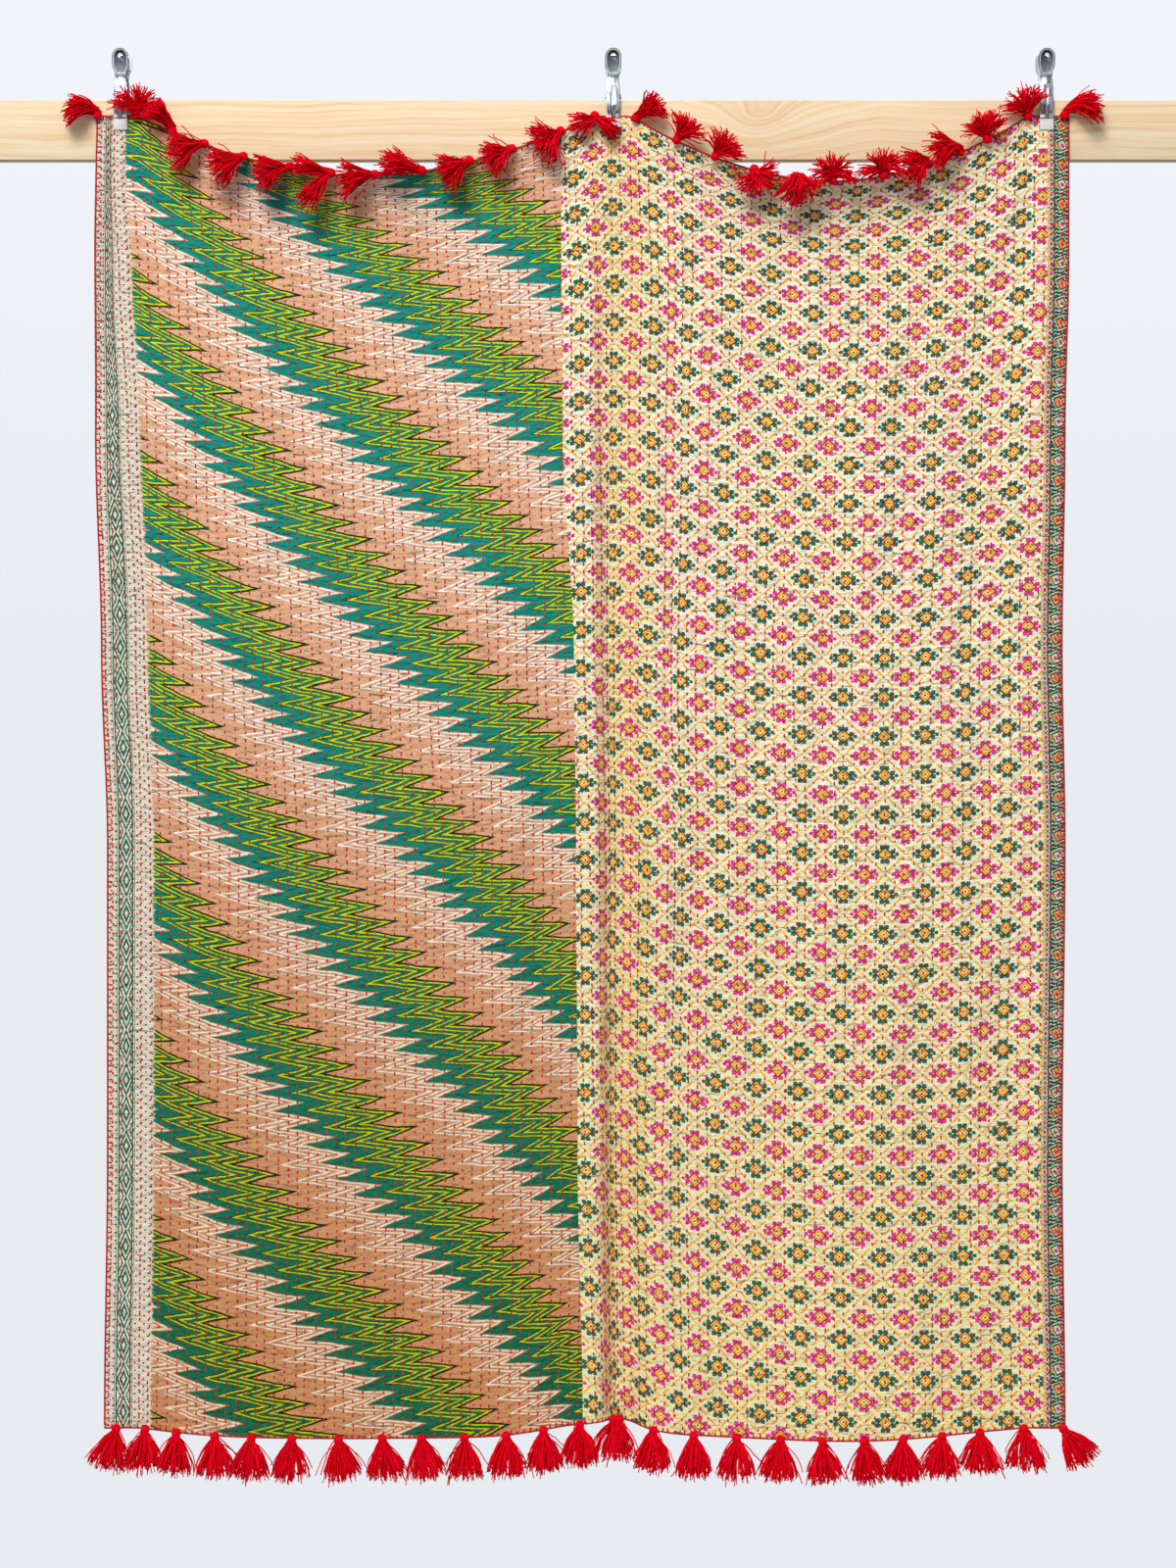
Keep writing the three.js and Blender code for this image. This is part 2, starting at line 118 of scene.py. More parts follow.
def makeStudio():
    bpy.ops.object.camera_add(
        location=(0, studio["clothPlane"] - studio["distance"], studio["axisHeight"]),
        rotation=(math.pi / 2, 0, 0),
    )
    camera = bpy.context.object
    camera.name = "camera"
    camera.data.sensor_fit = "VERTICAL"
    camera.data.sensor_height = studio["sensor"]
    camera.data.lens = studio["sensor"] * studio["distance"] / studio["pictureHeight"]
    bpy.context.scene.camera = camera

    bpy.ops.object.light_add(type="AREA", location=studio["keyPlace"])
    key = bpy.context.object
    key.name = "keyLight"
    key.data.size = studio["keySize"]
    key.data.energy = studio["keyPower"]
    aim = (Vector(studio["keyAim"]) - key.location).to_track_quat("-Z", "Y")
    key.rotation_euler = aim.to_euler()

    # Pale surroundings: seen at full brightness, lighting the cloth more from above than from below
    world = bpy.data.worlds.new("studio")
    bpy.context.scene.world = world
    world.use_nodes = True
    tree = world.node_tree
    tree.nodes.clear()
    toward = addNode(tree, "TexCoord")["Generated"]
    upward = addNode(tree, "SeparateXYZ", {0: toward})[2]
    fill = addNode(tree, "MapRange", {
        0: upward, 1: -1.0, 2: 1.0, 3: studio["fillLow"], 4: studio["fillHigh"],
    })[0]
    seen = addNode(tree, "LightPath")["Is Camera Ray"]
    low, high = studio["glowRise"]
    shown = addNode(tree, "MapRange", {0: upward, 1: low, 2: high, 3: 1.0, 4: studio["glowHigh"]})[0]
    strength = addNode(tree, "Mix", {0: seen, 2: fill, 3: shown})[0]
    glow = addNode(tree, "Background", {"Color": fromHex(studio["backdrop"]), "Strength": strength})[0]
    addNode(tree, "OutputWorld", {"Surface": glow})
    bpy.context.scene.view_settings.view_transform = "Standard"

    bpy.ops.mesh.primitive_circle_add(
        vertices=studio["floorSides"], radius=studio["floorRadius"], fill_type="NGON",
        location=(0, 0, studio["floorHeight"]),
    )
    floor = bpy.context.object
    floor.name = "floor"
    material, tree = newMaterial("pale floor")
    shader = addNode(tree, "BsdfPrincipled", {"Base Color": fromHex(studio["backdrop"]), "Roughness": 0.7})[0]
    addNode(tree, "OutputMaterial", {"Surface": shader})
    floor.data.materials.append(material)


makeStudio()
print("studio ready")


# The cloth, hung in the same shape as the solids: sizes in mm
cloth = {
    "thickness": 2.4,
    "topHeight": 18.5,
    "length": 1769.0,
    "middle": -21.5,  # of the sheet where a clip holds it
    "clearFrom": 4.0,
    "clearBy": 34.0,
    "edgeClearance": 2.4,
    "rows": 200,
    "rowCrowding": 1.3,
    "stitchPitch": 13.2,  # from one sewn row to the next
    "puff": 0.35,  # swell between two rows, on each face
    "puffPower": 0.8,
    "puffMiddle": 0.6,
    "puffFade": (3, 16),  # flat at the edges
    "seamLap": 4.0,  # the right panel's folded edge lies over the left panel
    "seamUnder": 1.1,
    "seamOver": 1.7,
    "seamWidth": 14,
    "looseSides": (6, 40),  # how far from the edges crinkles and tucks set in
    "looseTop": (30, 130),
    "creaseAngle": 50,  # shaded smooth below it
}
outline = {
    "down": (0, 190, 425, 720, 980, 1400, 1769),
    "left": (-662, -665, -664, -656, -648, -648, -652),
    "seam": (-36, -36, -34, -19, -16, -14, -7),
    "right": (648, 648, 643, 639, 643, 639, 643),
}
swags = [
    {"from": -606, "to": 10, "sag": 87, "lean": 32},
    {"from": 58, "to": 594, "sag": 95, "lean": 35},
]
swagShape = {"power": 1.85, "fade": 568, "hemShare": 0.13, "leanFade": 30}
folds = [
    {"top": -640, "hem": -606, "half": 50, "forward": -6},
    {"top": -480, "hem": -500, "half": 90, "forward": 9},
    {"top": -300, "hem": -270, "half": 100, "forward": -6},
    {"top": -130, "hem": -120, "half": 80, "forward": 7},
    {"top": 4, "hem": 6, "half": 26, "forward": 14},
    {"top": 40, "hem": 62, "half": 30, "forward": -21},
    {"top": 96, "hem": 128, "half": 44, "forward": 9},
    {"top": 260, "hem": 230, "half": 90, "forward": -5},
    {"top": 390, "hem": 390, "half": 90, "forward": 9},
    {"top": 560, "hem": 550, "half": 70, "forward": -7},
]
foldGrowth = {"start": 58, "full": 260, "topShare": 0.35}
creases = [
    {"fromX": -646, "fromDown": 58, "toX": -652, "toDown": 430, "half": 13, "forward": -9},
    {"fromX": 44, "fromDown": 60, "toX": 128, "toDown": 320, "half": 17, "forward": -6},
    {"fromX": 600, "fromDown": 70, "toX": 520, "toDown": 330, "half": 20, "forward": -4},
    {"fromX": -606, "fromDown": 70, "toX": -520, "toDown": 330, "half": 20, "forward": -4},
]
hemLift = {"at": 20, "half": 90, "rise": 11}

# Cloth taken up in close puckers: where, how wide, and how much of the cut it hides at each stop,
# a share of the way down
gathers = [
    {"top": 20, "hem": 36, "half": 14, "stops": (0.0, 0.36, 1.0), "hidden": (4, 12, 26)},
    {"top": 112, "hem": 118, "half": 16, "stops": (0.0, 0.36, 1.0), "hidden": (8, 14, 6)},
    {
        "top": -644, "hem": -650, "half": 5,
        "stops": (0.0, 0.05, 0.11, 0.2, 0.36), "hidden": (26, 23, 10, 4, 0),
    },
]

# Where a swag's lip leans over, the cloth takes up more of its length than shows
lip = {"share": 0.57, "reach": 55, "fade": 480}

# The prints lie askew on their cut: each term is a slip in mm, with the powers of the place
# across and down that it grows with
askew = {
    "middle": (340, 900),
    "reach": (300, 850),
    "panel_zigzag": {
        "across": (
            (67.0, 0, 0), (-31.0, 0, 1), (-14.1, 0, 2), (9.0, 0, 3), (29.7, 1, 0), (6.2, 1, 1),
            (-11.6, 2, 1), (-25.3, 3, 0), (-13.6, 3, 1),
        ),
        "down": ((5.0, 0, 0), (-2.3, 0, 1), (-1.1, 0, 2), (-14.4, 1, 1), (-8.3, 2, 0), (4.1, 3, 0)),
    },
    "panel_diamond": {
        "across": ((0.4, 0, 0), (11.1, 0, 1), (-3.8, 0, 2), (-4.8, 0, 3), (-2.2, 1, 0), (4.7, 1, 2)),
        "down": (
            (-7.0, 0, 0), (-12.5, 0, 1), (16.7, 0, 2), (-13.3, 1, 0), (-3.7, 1, 2), (-3.4, 2, 0),
            (-5.9, 2, 1), (-11.7, 3, 1),
        ),
    },
}

# Sharp tucks down the pleat, with the folds' own measures
tucks = [
    {"top": 16, "hem": 34, "half": 10, "forward": -6},
    {"top": 104, "hem": 120, "half": 13, "forward": -3},
]
tuckGrowth = (60, 300)


def smooth(value, low, high):
    t = np.clip((value - low) / (high - low), 0, 1)
    return t * t * (3 - 2 * t)


def bell(value, middle, half):
    return np.exp(-((value - middle) / half) ** 2)


# Where a line from the top edge to the hem has got to
def middleAt(line, share):
    return line["top"] + (line["hem"] - line["top"]) * share


def sidesAt(name, down):
    stops = np.array(outline["down"])
    values = np.array(outline[name])
    nextStop = np.clip(np.searchsorted(stops, down), 1, len(stops) - 1)
    share = smooth(down, stops[nextStop - 1], stops[nextStop])
    return values[nextStop - 1] + (values[nextStop] - values[nextStop - 1]) * share


def sagShare(swag, x):
    t = np.abs((2 * x - swag["from"] - swag["to"]) / (swag["to"] - swag["from"]))
    return np.where(t < 1, 1 - t ** swagShape["power"], 0)


def heightAt(x, down):
    share = swagShape["hemShare"] + (1 - swagShape["hemShare"]) * np.exp(-down / swagShape["fade"])
    sag = sum(swag["sag"] * sagShare(swag, x) for swag in swags)
    lift = hemLift["rise"] * (down / cloth["length"]) ** 2 * bell(x, hemLift["at"], hemLift["half"])
    return cloth["topHeight"] - down - sag * share + lift


def forwardAt(x, down):
    share = down / cloth["length"]
    growth = smooth(down, foldGrowth["start"], foldGrowth["full"])
    growth = growth * (foldGrowth["topShare"] + (1 - foldGrowth["topShare"]) * share)
    forward = sum(swag["lean"] * sagShare(swag, x) for swag in swags) * np.exp(-down / swagShape["leanFade"])
    for fold in folds:
        forward = forward + fold["forward"] * growth * bell(x, middleAt(fold, share), fold["half"])
    for crease in creases:
        along = (down - crease["fromDown"]) / (crease["toDown"] - crease["fromDown"])
        middle = crease["fromX"] + (crease["toX"] - crease["fromX"]) * along
        depth = crease["forward"] * np.sin(math.pi * np.clip(along, 0, 1))
        forward = forward + depth * bell(x, middle, crease["half"])
    return forward


def depthAt(x, down):
    below = smooth(-heightAt(x, down), cloth["clearFrom"], cloth["clearBy"])
    return cloth["middle"] - cloth["edgeClearance"] * below - forwardAt(x, down)


def gatheredAt(x, down):
    share = down / cloth["length"]
    taken = 0
    for gather in gathers:
        hidden = np.interp(share, gather["stops"], gather["hidden"])
        taken = taken + hidden * 0.5 * (1 + np.tanh((x - middleAt(gather, share)) / gather["half"]))
    return taken


# Soft uneven crinkles, mostly upright, as washed quilted cotton has
crinkles = {
    "count": 22,
    "shortest": 24,
    "longest": 110,
    "lean": 0.5,
    "upright": 0.6,
    "depthShare": 0.0065,
    "seed": 4,
}


def crinkleAt(x, down):
    dice = np.random.default_rng(crinkles["seed"])
    depth = 0
    for _ in range(crinkles["count"]):
        length = dice.uniform(crinkles["shortest"], crinkles["longest"])
        turn = dice.normal(0, crinkles["lean"])
        phase = dice.uniform(0, 2 * math.pi)
        across = x * math.cos(turn) + down * math.sin(turn) * crinkles["upright"]
        depth = depth + crinkles["depthShare"] * length * np.sin(2 * math.pi * across / length + phase)
    return depth


def slipAt(terms, u, v):
    sideways = (u - askew["middle"][0]) / askew["reach"][0]
    lengthways = (v - askew["middle"][1]) / askew["reach"][1]
    return sum(size * sideways ** p * lengthways ** q for size, p, q in terms)


# One panel's grid: front and back points, and each point's place in the cut, in metres
def layPanel(name, panel):
    rows = cloth["length"] * np.linspace(0, 1, cloth["rows"] + 1) ** cloth["rowCrowding"]
    down = np.repeat(rows[:, None], panel["columns"] + 1, axis=1)
    start = sidesAt(panel["from"], rows)[:, None]
    stop = sidesAt(panel["to"], rows)[:, None]
    along = start + (stop - start) * np.linspace(0, 1, panel["columns"] + 1)
    step = (stop - start) / panel["columns"]
    rise = np.diff(forwardAt(along, down), axis=1)
    run = np.sqrt(np.maximum(step ** 2 - rise ** 2, 0))
    reached = np.concatenate([np.zeros_like(start), np.cumsum(run, axis=1)], axis=1)
    stretch = (stop - start) / reached[:, -1:]
    x = start + reached * stretch
    z = heightAt(along, down)
    y = depthAt(along, down)

    arc = (along - start) * stretch + gatheredAt(x, down) - gatheredAt(start, down)
    cutU = arc if panel["outer"] == "from" else arc[:, -1:] - arc
    seamSide = np.abs(along - (stop if panel["outer"] == "from" else start))
    lapped = smooth(seamSide, cloth["seamWidth"], 0)
    if panel["outer"] == "from":
        x = x + cloth["seamLap"] * lapped
        y = y + cloth["seamUnder"] * lapped
    else:
        y = y - cloth["seamOver"] * lapped

    sag = sum(swag["sag"] * sagShare(swag, along) for swag in swags)
    printV = down + sag * lip["share"] * (np.exp(-down / lip["fade"]) - np.exp(-down / lip["reach"]))
    slips = [slipAt(askew[name][way], cutU, printV) for way in ("across", "down")]
    edge = np.minimum(np.minimum(along - start, stop - along), np.minimum(down, cloth["length"] - down))
    loose = smooth(edge, *cloth["looseSides"]) * smooth(down, *cloth["looseTop"])
    y = y - crinkleAt(x, down) * loose
    for tuck in tucks:
        near = bell(x, middleAt(tuck, down / cloth["length"]), tuck["half"])
        y = y - tuck["forward"] * near * smooth(down, *tuckGrowth) * loose
    swell = np.abs(np.sin(math.pi * cutU / cloth["stitchPitch"])) ** cloth["puffPower"] - cloth["puffMiddle"]
    half = cloth["thickness"] / 2 + cloth["puff"] * swell * smooth(edge, *cloth["puffFade"])
    front = np.stack([x, y - half, z], axis=2) * mm
    back = np.stack([x, y + half, z], axis=2) * mm
    cut = np.stack([cutU, printV], axis=2) * mm
    places = {"cut": cut, "print": cut - np.stack(slips, axis=2) * mm}
    return {"front": front, "back": back, "cutU": cutU * mm, "places": places, "rows": rows * mm}


def panelMesh(name, grid, materials):
    down, across = grid["cutU"].shape
    index = np.arange(down * across).reshape(down, across)
    rear = index + down * across

    def band(a, b, c, d):
        return np.stack([a.ravel(), b.ravel(), c.ravel(), d.ravel()], axis=1)

    frontFaces = band(index[:-1, :-1], index[1:, :-1], index[1:, 1:], index[:-1, 1:])
    backFaces = band(rear[:-1, 1:], rear[1:, 1:], rear[1:, :-1], rear[:-1, :-1])
    topEdge = band(index[0, :-1], index[0, 1:], rear[0, 1:], rear[0, :-1])
    hemEdge = band(index[-1, 1:], index[-1, :-1], rear[-1, :-1], rear[-1, 1:])
    leftEdge = band(index[1:, 0], index[:-1, 0], rear[:-1, 0], rear[1:, 0])
    rightEdge = band(rear[1:, -1], rear[:-1, -1], index[:-1, -1], index[1:, -1])
    faces = np.concatenate([frontFaces, topEdge, hemEdge, leftEdge, rightEdge, backFaces])
    slots = np.zeros(len(faces))
    slots[-len(backFaces):] = 1
    points = np.concatenate([grid["front"].reshape(-1, 3), grid["back"].reshape(-1, 3)])
    places = {label: np.tile(place.reshape(-1, 2), (2, 1)) for label, place in grid["places"].items()}
    piece = meshPiece(name, points, faces, materials, places, slots)
    piece.select_set(True)
    bpy.context.view_layer.objects.active = piece
    bpy.ops.object.shade_smooth_by_angle(angle=math.radians(cloth["creaseAngle"]))
    piece.select_set(False)
    return piece


# Printed cotton
# Thin washed cotton lawn, quilted: matt, faintly napped, its colour uneven where the cloth has worn
weave = {
    "thread": 1.6,  # mm; real threads are 0.3 mm, drawn this coarse so that they show
    "threadDrawn": (0.45, 1.0, 1.0),
    "threadFade": (0.9, 1.06),
    "slub": 9.0,
    "slubFade": (0.92, 1.06),
    "uneven": (0.3, 0.7),  # the middle of both patterns, drawn out to the full fade
    "pucker": 8.0,
    "puckerDrawn": (0.7, 1.35, 1.0),
    "crease": 34.0,
    "creaseWidth": 0.09,
    # strength and depth of each relief
    "puckerBump": (1.0, 5.0),
    "creaseBump": (0.9, 1.5),
    "threadBump": (0.3, 0.4),
    "roughness": 0.86,
    "sheen": 0.05,
}


def finishCotton(tree, colour, cut):
    stretched = addNode(tree, "Mapping", {0: cut, 3: weave["threadDrawn"]})[0]
    threads = addNode(tree, "TexNoise", {0: stretched, "Scale": 1 / (weave["thread"] * mm), "Detail": 1.0})[0]
    slubs = addNode(tree, "TexNoise", {0: cut, "Scale": 1 / (weave["slub"] * mm), "Detail": 3.0})[0]
    low, high = weave["uneven"]
    shade = colour
    for pattern, fade in ((threads, weave["threadFade"]), (slubs, weave["slubFade"])):
        faded = addNode(tree, "MapRange", {0: pattern, 1: low, 2: high, 3: fade[0], 4: fade[1]})[0]
        shade = addNode(tree, "VectorMath", {0: shade, "Scale": faded}, operation="SCALE")[0]

    # Puckers that the running stitches draw up, and thin meandering creases between them
    flattened = addNode(tree, "Mapping", {0: cut, 3: weave["puckerDrawn"]})[0]
    puckers = addNode(tree, "TexNoise", {0: flattened, "Scale": 1 / (weave["pucker"] * mm), "Detail": 2.0})[0]
    folded = addNode(tree, "TexNoise", {0: flattened, "Scale": 1 / (weave["crease"] * mm), "Detail": 2.0})[0]
    folded = addNode(tree, "Math", {0: folded, 1: 0.5}, operation="SUBTRACT")[0]
    folded = addNode(tree, "Math", {0: folded}, operation="ABSOLUTE")[0]
    folded = addNode(tree, "MapRange", {0: folded, 1: 0.0, 2: weave["creaseWidth"]})[0]
    raised = {}
    for height, relief in ((puckers, "puckerBump"), (folded, "creaseBump"), (threads, "threadBump")):
        strength, depth = weave[relief]
        raised = {"Normal": addNode(tree, "Bump", {
            "Strength": strength, "Distance": depth * mm, "Height": height, **raised,
        })[0]}
    shader = addNode(tree, "BsdfPrincipled", {
        "Base Color": shade,
        "Roughness": weave["roughness"],
        "Specular IOR Level": 0.25,
        "Sheen Weight": weave["sheen"],
        "Sheen Roughness": 0.6,
        **raised,
    })[0]
    addNode(tree, "OutputMaterial", {"Surface": shader})


# The print's edges wander a little, as hand printing does, in broad waves and fine ones: sizes in mm
handPrint = {"broad": 38.4615, "fine": 5.88235}


def wander(tree, cut, broad, fine):
    moved = cut
    for wave, slip in ((handPrint["broad"], broad), (handPrint["fine"], fine)):
        noise = addNode(tree, "TexNoise", {0: cut, "Scale": 1 / (wave * mm), "Detail": 1.0})["Color"]
        noise = addNode(tree, "VectorMath", {0: noise, 1: (0.5, 0.5, 0.5)}, operation="SUBTRACT")[0]
        moved = addNode(tree, "VectorMath", {
            0: noise, 1: (slip * mm,) * 3, 2: moved,
        }, operation="MULTIPLY_ADD")[0]
    return moved


# Flame zigzags in slanting bands: sizes in mm
zigzag = {
    "tooth": 24.0,  # height of one zigzag
    "rise": 0.57,  # share of it that the long edge takes
    "reach": 48.0,  # from its left tip to its right tip
    "drift": 0.873,  # sideways for each mm down
    "tilt": (-0.089, 0.439, -0.34),  # of the printed rows against the cloth: it changes across, in metres
    "repeat": 213.5,
    "start": 64.0,  # width of the border beside it
    "wander": (6.0, 1.4),
    "ragged": (-2.5, 1.5),  # of its edge on the border
    "edgeWander": (2.0, 9.0),
    # the inks turn darker and yellower towards the hem, by the hem tint
    "hemTintSpan": (350, 1750),  # how far down the inks begin to yellow, and where they are yellowest
    "tinted": {"peach": 0.6, "white": 0.35, "yellow": 0.4, "teal": 0.72, "dark": 1.0},
    # each band's ink and where it starts, across one repeat
    "bands": (
        ("peach", 0), ("white", 47.2), ("peach", 55), ("white", 66.8), ("peach", 74.6), ("white", 87),
        ("peach", 94.8), ("teal", 99.5), ("dark", 137.4), ("yellow", 141), ("dark", 149.4), ("teal", 153),
        ("dark", 160.2), ("yellow", 163.8), ("dark", 172.2), ("teal", 175.8), ("dark", 183.2),
        ("yellow", 186.8), ("dark", 195.2), ("peach", 206.5),
    ),
}
zigzagInks = {
    "peach": "E4AE88",
    "white": "FBFAF0",
    "teal": "038A7A",
    "dark": "0B3312",
    "yellow": "CEDE00",
    "hemTint": "CB9E30",
}


def zigzagColour(tree, printed):
    u, v, _ = addNode(tree, "SeparateXYZ", {0: printed})
    steady, more, less = zigzag["tilt"]
    lean = addNode(tree, "Math", {0: u, 1: less, 2: more}, operation="MULTIPLY_ADD")[0]
    lean = addNode(tree, "Math", {0: u, 1: lean, 2: steady}, operation="MULTIPLY_ADD")[0]
    level = addNode(tree, "Math", {0: u, 1: lean, 2: v}, operation="MULTIPLY_ADD")[0]
    level = addNode(tree, "Math", {0: level, 1: 1 / (zigzag["tooth"] * mm)}, operation="MULTIPLY")[0]
    level = addNode(tree, "Math", {0: level}, operation="FRACT")[0]
    rest = 1 - zigzag["rise"]
    rising = addNode(tree, "Math", {0: level, 1: 1 / zigzag["rise"]}, operation="MULTIPLY")[0]
    falling = addNode(tree, "Math", {0: level, 1: -1 / rest, 2: 1 / rest}, operation="MULTIPLY_ADD")[0]
    tooth = addNode(tree, "Math", {0: rising, 1: falling}, operation="MINIMUM")[0]
    slant = addNode(tree, "Math", {0: v, 1: -zigzag["drift"], 2: u}, operation="MULTIPLY_ADD")[0]
    line = addNode(tree, "Math", {0: tooth, 1: -zigzag["reach"] * mm, 2: slant}, operation="MULTIPLY_ADD")[0]
    turns = addNode(tree, "Math", {0: line, 1: 1 / (zigzag["repeat"] * mm)}, operation="MULTIPLY")[0]
    place = addNode(tree, "Math", {0: turns}, operation="FRACT")[0]

    # Alpha says how much of the hem tint an ink takes, darker and yellower
    stops = []
    for ink, start in zigzag["bands"]:
        red, green, blue, _ = fromHex(zigzagInks[ink])
        stops.append((start / zigzag["repeat"], (red, green, blue, zigzag["tinted"][ink])))
    ramp = addNode(tree, "ValToRGB", {0: place})
    setRamp(ramp[0].node.color_ramp, stops)

    # Darker and yellower towards the hem
    begun, done = zigzag["hemTintSpan"]
    tintShare = addNode(tree, "MapRange", {0: v, 1: begun * mm, 2: done * mm}, interpolation_type="SMOOTHSTEP")[0]
    share = addNode(tree, "Math", {0: tintShare, 1: ramp["Alpha"]}, operation="MULTIPLY")[0]
    return addNode(tree, "Mix", {
        0: share, 6: ramp["Color"], 7: fromHex(zigzagInks["hemTint"]),
    }, data_type="RGBA", blend_type="MULTIPLY")[2]


# The left border, from the edge inwards: a dotted strip, a chain of lozenges between lines, and a
# wider dotted strip
leftBorder = {
    "chainMiddle": 25.5,
    "chainHalf": 9.2,
    "chainPitch": 44.8,
    "chainShown": (17, 33.5),
    "lozenges": (
        (0.0, "cream"), (0.13, "teal"), (0.29, "cream"), (0.39, "teal"), (0.52, "cream"), (0.66, "teal"),
        (0.76, "cream"),
    ),
    "lines": ((12.6, 13.4), (15, 17), (33.2, 35), (36.4, 37.1)),
    "dotColumns": 5.8,
    "dotRows": 10.6,
    "dot": 1.3,
    "rule": 1.5,  # half way from one fine printed line to the next
    "ruleShare": 0.42,
    "ruleStrength": 0.55,
    "wander": (1.5, 1.0),
    "inks": {"cream": "E8E0C2", "rose": "EADDC8", "teal": "1A6457", "dot": "1A4535", "rule": "CBB096"},
}


def leftBorderColour(tree, printed):
    inks = {name: fromHex(code) for name, code in leftBorder["inks"].items()}
    u, v, _ = addNode(tree, "SeparateXYZ", {0: printed})

    # Fine lines across, and dots in staggered columns
    ruleTurn = addNode(tree, "Math", {0: v, 1: leftBorder["rule"] * mm}, operation="PINGPONG")[0]
    ruleWidth = leftBorder["ruleShare"] * leftBorder["rule"] * mm
    ruled = addNode(tree, "Math", {0: ruleTurn, 1: ruleWidth}, operation="LESS_THAN")[0]
    faint = addNode(tree, "Math", {0: ruled, 1: leftBorder["ruleStrength"]}, operation="MULTIPLY")[0]
    ground = addNode(tree, "Mix", {0: faint, 6: inks["rose"], 7: inks["rule"]}, data_type="RGBA")[2]
    column = leftBorder["dotColumns"] * mm
    row = leftBorder["dotRows"] / 2 * mm
    a = addNode(tree, "Math", {0: u, 1: column}, operation="PINGPONG")[0]
    b = addNode(tree, "Math", {0: v, 1: row}, operation="PINGPONG")[0]
    near = addNode(tree, "CombineXYZ", {0: a, 1: b})[0]
    far = addNode(tree, "VectorMath", {0: (column, row, 0), 1: near}, operation="SUBTRACT")[0]
    nearSize = addNode(tree, "VectorMath", {0: near}, operation="LENGTH")["Value"]
    farSize = addNode(tree, "VectorMath", {0: far}, operation="LENGTH")["Value"]
    closest = addNode(tree, "Math", {0: nearSize, 1: farSize}, operation="MINIMUM")[0]
    dotted = addNode(tree, "Math", {0: closest, 1: leftBorder["dot"] * mm}, operation="LESS_THAN")[0]
    strip = addNode(tree, "Mix", {0: dotted, 6: ground, 7: inks["dot"]}, data_type="RGBA")[2]

    # Lozenges one inside another, down the chain's middle
    aside = addNode(tree, "Math", {0: u, 1: leftBorder["chainMiddle"] * mm}, operation="SUBTRACT")[0]
    aside = addNode(tree, "Math", {0: aside}, operation="ABSOLUTE")[0]
    halfPitch = leftBorder["chainPitch"] / 2 * mm
    upright = addNode(tree, "Math", {0: v, 1: halfPitch}, operation="PINGPONG")[0]
    tall = addNode(tree, "Math", {0: upright, 1: 1 / halfPitch}, operation="MULTIPLY")[0]
    ring = addNode(tree, "Math", {
        0: aside, 1: 1 / (leftBorder["chainHalf"] * mm), 2: tall,
    }, operation="MULTIPLY_ADD")[0]
    spread = addNode(tree, "Math", {0: ring, 1: 0.5}, operation="MULTIPLY")[0]
    chain = addNode(tree, "ValToRGB", {0: spread})[0]
    setRamp(chain.node.color_ramp, [(spot, inks[name]) for spot, name in leftBorder["lozenges"]])

    # Across the border: where the chain shows, and the lines beside it
    across = addNode(tree, "MapRange", {0: u, 1: 0.0, 2: zigzag["start"] * mm})[0]
    shown = {}
    for name, spans in (("chain", [leftBorder["chainShown"]]), ("lines", leftBorder["lines"])):
        stops = [(0.0, (0.0, 0.0, 0.0, 1.0))]
        for start, stop in spans:
            stops.append((start / zigzag["start"], (1.0, 1.0, 1.0, 1.0)))
            stops.append((stop / zigzag["start"], (0.0, 0.0, 0.0, 1.0)))
        shown[name] = addNode(tree, "ValToRGB", {0: across})[0]
        setRamp(shown[name].node.color_ramp, stops)
    mixed = addNode(tree, "Mix", {0: shown["chain"], 6: strip, 7: chain}, data_type="RGBA")[2]
    return addNode(tree, "Mix", {0: shown["lines"], 6: mixed, 7: inks["teal"]}, data_type="RGBA")[2]


def zigzagCotton():
    material, tree = newMaterial("block printed zigzag cotton")
    cut = addNode(tree, "UVMap", uv_map="cut")[0]
    lain = addNode(tree, "UVMap", uv_map="print")[0]
    field = zigzagColour(tree, wander(tree, lain, *zigzag["wander"]))
    border = leftBorderColour(tree, wander(tree, cut, *leftBorder["wander"]))
    ragged = addNode(tree, "SeparateXYZ", {0: wander(tree, cut, *zigzag["edgeWander"])})[0]
    low, high = [(zigzag["start"] + stray) * mm for stray in zigzag["ragged"]]
    inField = addNode(tree, "MapRange", {0: ragged, 1: low, 2: high})[0]
    colour = addNode(tree, "Mix", {0: inField, 6: border, 7: field}, data_type="RGBA")[2]
    finishCotton(tree, colour, cut)
    return material


# Stepped flowers in a lattice of dashes: sizes in mm from a flower's middle
flower = {
    "pitch": 55.8,
    "squash": 1.024,  # the print is that much closer lengthwise
    "across": 19.0,  # from the cut's edge to a green flower
    "down": 55.0,
    "square": 8.8,  # half the diagonal of the turned square
    "rim": 11.4,
    "eye": 3.2,
    "pupil": 1.5,
    "rimLine": 0.5,
    "petal": 3.0,
    "petalRounding": 1.2,
    "petals": ((3.6, 10.4), (10.9, 3.6)),
    "bead": 2.6,
    "beadOut": 16.4,
    # a lattice dash: half its width, then its middle and half length along the line, all times root two
    "dash": 1.7625,
    "dashAlong": (10.6, 7.4),
    "shorts": ((0.0, 0.0), (4.1, 3.5)),  # short dashes, from a crossing
    "short": (2.2, 0.9),  # half length and half width
    "border": 29.0,
    "wander": (3.0, 0.8),
    "blushPatch": 142.857,
    "blushRange": (0.46, 0.62),
    # the ground turns darker and yellower towards the hem
    "hemTintSpan": (600, 1750, 0.9),  # how far down the ground begins to yellow, where it is yellowest, how much
    # painted shade in the pleat: its middle across the cut, its core and reach, and how far it draws the
    # ground to straw
    "pleat": {"at": 612, "core": 20, "reach": 60, "tinted": 0.7},
}
